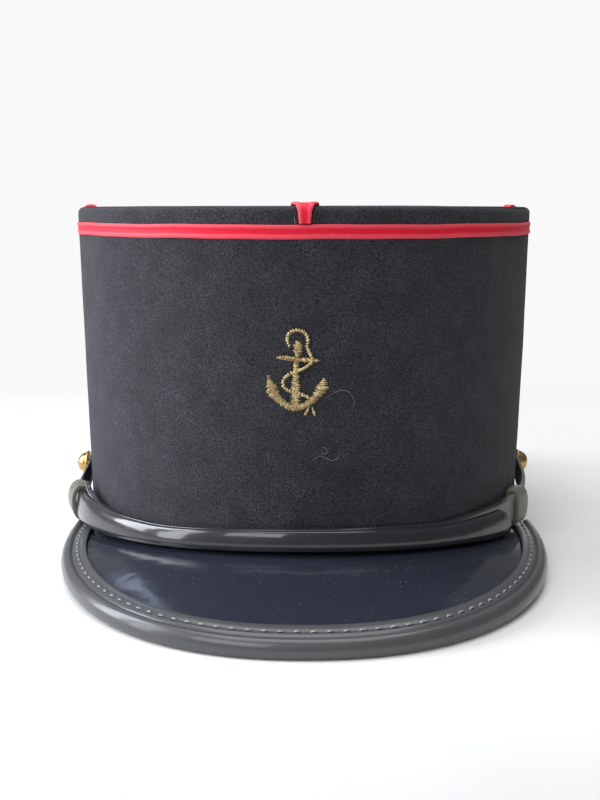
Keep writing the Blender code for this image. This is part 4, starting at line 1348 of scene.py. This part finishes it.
def make_keepers(patent):
    """The keeper round both straps and the keeper round the inner strap alone."""
    sizes = strap()

    def outer_front(angle):
        return outer_strap_back(angle) + sizes.thickness * strap_value("thick", angle)

    def inner_front(angle):
        return inner_strap_back(angle) + sizes.inner_thickness * strap_value("thick", angle)

    make_keeper(patent, "strap_keeper_left", sizes.keeper_left, outer_raise, outer_strap_back,
                outer_front, 0.8)
    make_keeper(patent, "strap_keeper_right", sizes.keeper_right, inner_raise, inner_strap_back,
                inner_front, 0.4)


# Buttons

BUTTON_PROFILE = table(
    "radius height",
    (1.0, 0.10), (0.985, 0.17), (0.94, 0.20), (0.90, 0.19), (0.875, 0.22), (0.85, 0.36),
    (0.78, 0.55), (0.66, 0.73), (0.50, 0.87), (0.32, 0.96), (0.12, 1.0),
)


def make_button(brass, node, side, seat, raise_by):
    """A stamped domed button, drawn up ring by ring from its back."""
    sizes = strap()
    radius = sizes.button_diameter / 2
    tall = sizes.button_flange + sizes.button_dome
    angle = sizes.button_place * side
    width = sizes.width * strap_value("width", sizes.button_place)
    height = strap_lower(sizes.button_place) + raise_by + width / 2
    spot = above_seam(angle, height, seat)
    deselect()
    now = {"radius": 0.93, "height": 0.0}
    bpy.ops.mesh.primitive_circle_add(vertices=56, radius=radius * now["radius"], fill_type="NGON")
    piece = name_piece(node + "_brass")
    edit(piece, "FACE")
    bpy.ops.mesh.select_all(action="SELECT")
    for row in BUTTON_PROFILE:
        bpy.ops.mesh.extrude_region_move(
            TRANSFORM_OT_translate={"value": (0, 0, (row["height"] - now["height"]) * tall)})
        grow = row["radius"] / now["radius"]
        bpy.ops.transform.resize(value=(grow, grow, 1), center_override=(0, 0, row["height"] * tall))
        now = row
    face_outwards()
    leave_edit()
    aim = oval_normal(angle).to_track_quat("Z", "Y").to_matrix().to_4x4()
    lay_down(piece, Matrix.Translation(spot) @ aim)
    hand_over(piece, brass, node, smooth=50)


def make_buttons(brass):
    """The two buttons that hold the straps' ends."""
    sizes = strap()
    place = sizes.button_place
    thick = strap_value("thick", place)
    left_seat = outer_strap_back(-place) + sizes.thickness * thick + GAP
    right_seat = inner_strap_back(place) + sizes.inner_thickness * thick + GAP
    make_button(brass, "button_left", -1, left_seat, 0.0)
    make_button(brass, "button_right", 1, right_seat, inner_raise(place))


# Lint

def make_lint(material):
    """A few loose fibres lying on the crown's front."""
    pieces = []
    for i, line in enumerate(LINT):
        rows = table("across height", *line)
        points = smooth_rows(rows, ("across", "height"), 5)
        path = bpy.data.curves.new(f"lint_{i}", "CURVE")
        path.dimensions = "3D"
        path.bevel_depth = 0.075 * MM
        path.bevel_resolution = 1
        path.use_fill_caps = True
        spline = path.splines.new("POLY")
        spline.points.add(len(points) - 1)
        for j, (across, height) in enumerate(points):
            angle = math.asin(across * 2 * MM / crown().width)
            lift = 0.25 * MM + 0.12 * MM * math.sin(1.7 * j)  # on the nap, waving up and down
            spot = crown_point(angle, height * MM, lift)
            spline.points[j].co = (*spot, 1)
            spline.points[j].radius = 1.0 - 0.5 * abs(2 * j / (len(points) - 1) - 1)
        piece = bpy.data.objects.new(f"lint_{i}", path)
        bpy.context.collection.objects.link(piece)
        focus(piece)
        bpy.ops.object.convert(target="MESH")
        pieces.append(piece)
    piece = join(pieces, "lint_fibres")
    lay_down(piece)
    hand_over(piece, material, None, smooth=60)


# Stage

LIGHTS = table(
    "name at aim wide tall watts tint",
   
    ("side_window", (-1.17, 0.12, 0.60), (0, 0, 0.06), 0.45, 1.10, 16.0, "f2f6ff"),
    ("front_window", (-1.16, -0.36, 0.45), (0, 0, 0.06), 0.28, 0.90, 5.0, "f6f8ff"),
    ("back_window", (-0.415, 0.767, 0.75), (-0.04, -0.1, 0.0), 0.08, 0.38, 0.25, "cfe0ff"),
    ("front_soft", (-0.7, -1.2, 0.9), (0, 0, 0.06), 0.9, 0.7, 7.0, "ffffff"),
    ("top_soft", (0.0, 0.0, 1.5), (0, 0, 0.0), 1.4, 1.4, 18.0, "ffffff"),
)


def make_floor(paper):
    """A round paper floor that fades out into the surround."""
    reach = bpy.context.scene.kepi_stage.floor_reach
    deselect()
    bpy.ops.mesh.primitive_circle_add(vertices=96, radius=reach, fill_type="NGON", location=(0, 0, 0))
    floor = name_piece("paper_floor")
    floor.data.materials.append(paper)


def make_lights():
    """Rectangles of light: windows at the left, one behind, and soft ones in front and above."""
    for row in LIGHTS:
        data = bpy.data.lights.new(row["name"], "AREA")
        data.shape = "RECTANGLE"
        data.size = row["wide"]
        data.size_y = row["tall"]
        data.energy = row["watts"]
        data.color = to_linear(row["tint"])
        light = bpy.data.objects.new(row["name"], data)
        light.location = row["at"]
        way = Vector(row["aim"]) - Vector(row["at"])
        light.rotation_euler = way.to_track_quat("-Z", "Y").to_euler()
        bpy.context.collection.objects.link(light)


def make_surround():
    """White low behind the cap, as the photograph's background, and a dim room elsewhere, which
    is paler at the left. MapRange takes the value, its two limits and what they become."""
    stage = bpy.context.scene.kepi_stage
    world = bpy.data.worlds.new("white_surround")
    world.use_nodes = True
    tree = world.node_tree
    place = add_node(tree, "TexCoord").outputs["Generated"]
    parts = add_node(tree, "SeparateXYZ", (place,)).outputs
    behind = add_node(tree, "MapRange", (parts["Y"], 0.895, 0.93, 0.0, 1.0))
    low = add_node(tree, "MapRange", (parts["Z"], 0.24, 0.30, 1.0, 0.0))
    paper = add_node(tree, "Math", (behind, low), operation="MULTIPLY")
    room = add_node(tree, "MapRange", (parts["X"], -0.9, 0.9, stage.room_left, stage.room_right))
    glow = add_node(tree, "Mix", {0: paper, 2: room, 3: stage.sky}, data_type="FLOAT")
    fill_inputs(tree, tree.nodes["Background"], {"Strength": glow, "Color": (1, 1, 1, 1)})
    bpy.context.scene.world = world
    bpy.context.scene.view_settings.view_transform = "Standard"


def make_camera():
    """The photograph's camera: in front of the cap, a little above it and looking down."""
    stage = bpy.context.scene.kepi_stage
    data = bpy.data.cameras.new("camera")
    data.sensor_fit = "VERTICAL"
    data.sensor_height = 36.0
    data.lens = stage.lens
    data.clip_start = 0.01
    camera = bpy.data.objects.new("camera", data)
    camera.location = (stage.camera_x, stage.camera_y, stage.camera_z)
    camera.rotation_euler = (math.pi / 2 - stage.camera_pitch, 0, 0)
    bpy.context.collection.objects.link(camera)
    bpy.context.scene.camera = camera


# Operators

class KEPI_OT_stage(bpy.types.Operator):
    """Sets up the paper floor, the lights and the camera"""
    bl_idname = "kepi.stage"
    bl_label = "Stage"

    def execute(self, context):
        make_floor(paper_floor())
        make_lights()
        make_surround()
        make_camera()
        return {"FINISHED"}


class KEPI_OT_crown(bpy.types.Operator):
    """Models the cloth wall and the sunk top"""
    bl_idname = "kepi.crown"
    bl_label = "Crown"

    def execute(self, context):
        cloth = wool_cloth()
        make_crown_wall(cloth)
        make_crown_top(cloth)
        return {"FINISHED"}


class KEPI_OT_soutache(bpy.types.Operator):
    """Models the braid band, its four arms and the knot"""
    bl_idname = "kepi.soutache"
    bl_label = "Soutache"

    def execute(self, context):
        rayon = soutache_rayon()
        make_soutache_band(rayon)
        for arm in BRAID_ARMS:
            make_soutache_arm(rayon, arm["node"], arm["degrees"])
        make_soutache_knot(rayon)
        return {"FINISHED"}


class KEPI_OT_anchor(bpy.types.Operator):
    """Sews the gold anchor and its cut thread ends"""
    bl_idname = "kepi.anchor"
    bl_label = "Anchor"

    def execute(self, context):
        gold = gold_thread()
        make_anchor(gold)
        make_anchor_tails(gold)
        return {"FINISHED"}


class KEPI_OT_visor(bpy.types.Operator):
    """Models the visor's plate, its binding and the stitches"""
    bl_idname = "kepi.visor"
    bl_label = "Visor"

    def execute(self, context):
        plate = patent_leather("patent_leather_visor", visor().patent, wave=0.25 * MM, dust=0.6,
                               gloss=0.10, coat=0.1)
        binding = patent_leather("patent_leather_binding", visor().binding_patent, wave=0.1 * MM, dust=0.2,
                                 gloss=0.26, coat=0.25)
        make_visor_plate(plate)
        make_visor_binding(binding)
        make_binding_stitches(waxed_thread())
        return {"FINISHED"}


class KEPI_OT_chin_strap(bpy.types.Operator):
    """Models both straps and their keepers"""
    bl_idname = "kepi.chin_strap"
    bl_label = "Chin strap"

    def execute(self, context):
        patent = patent_leather("patent_leather_strap", strap().patent, wave=0.15 * MM, dust=0.15,
                                gloss=0.12, coat=0.5, worn_end=True)
        worn = patent_leather("patent_leather_keepers", strap().keeper_patent, wave=0.1 * MM, dust=0.2,
                              gloss=0.34, coat=0.1)
        make_straps(patent)
        make_keepers(worn)
        return {"FINISHED"}


class KEPI_OT_buttons(bpy.types.Operator):
    """Models the two gilt buttons"""
    bl_idname = "kepi.buttons"
    bl_label = "Buttons"

    def execute(self, context):
        make_buttons(gilt_brass())
        return {"FINISHED"}


class KEPI_OT_lint(bpy.types.Operator):
    """Lays a few loose fibres on the crown"""
    bl_idname = "kepi.lint"
    bl_label = "Lint"

    def execute(self, context):
        make_lint(lint_fibre())
        return {"FINISHED"}


OPERATORS = (KEPI_OT_stage, KEPI_OT_crown, KEPI_OT_soutache, KEPI_OT_anchor, KEPI_OT_visor,
             KEPI_OT_chin_strap, KEPI_OT_buttons, KEPI_OT_lint)


class KEPI_PT_panel(bpy.types.Panel):
    """Lists the cap's pieces and their settings"""
    bl_idname = "KEPI_PT_panel"
    bl_label = "Kepi Cap"
    bl_space_type = "VIEW_3D"
    bl_region_type = "UI"
    bl_category = "Kepi"

    def draw(self, context):
        for operator in OPERATORS:
            self.layout.operator(operator.bl_idname)
        for name in SETTINGS:
            box = self.layout.box()
            group = getattr(context.scene, name)
            for key in group.bl_rna.properties.keys():
                if key not in ("rna_type", "name"):
                    box.prop(group, key)


SETTINGS = {
    "kepi_crown": KepiCrownSettings,
    "kepi_braid": KepiBraidSettings,
    "kepi_anchor": KepiAnchorSettings,
    "kepi_visor": KepiVisorSettings,
    "kepi_strap": KepiStrapSettings,
    "kepi_stage": KepiStageSettings,
}


def register():
    for name, group in SETTINGS.items():
        bpy.utils.register_class(group)
        setattr(bpy.types.Scene, name, bpy.props.PointerProperty(type=group))
    for part in (*OPERATORS, KEPI_PT_panel):
        bpy.utils.register_class(part)


def unregister():
    for part in (KEPI_PT_panel, *reversed(OPERATORS)):
        bpy.utils.unregister_class(part)
    for name, group in SETTINGS.items():
        delattr(bpy.types.Scene, name)
        bpy.utils.unregister_class(group)


def main():
    register()
    bpy.ops.kepi.stage()
    bpy.ops.kepi.crown()
    bpy.ops.kepi.soutache()
    bpy.ops.kepi.anchor()
    bpy.ops.kepi.visor()
    bpy.ops.kepi.chin_strap()
    bpy.ops.kepi.buttons()
    bpy.ops.kepi.lint()


if __name__ == "__main__":
    main()
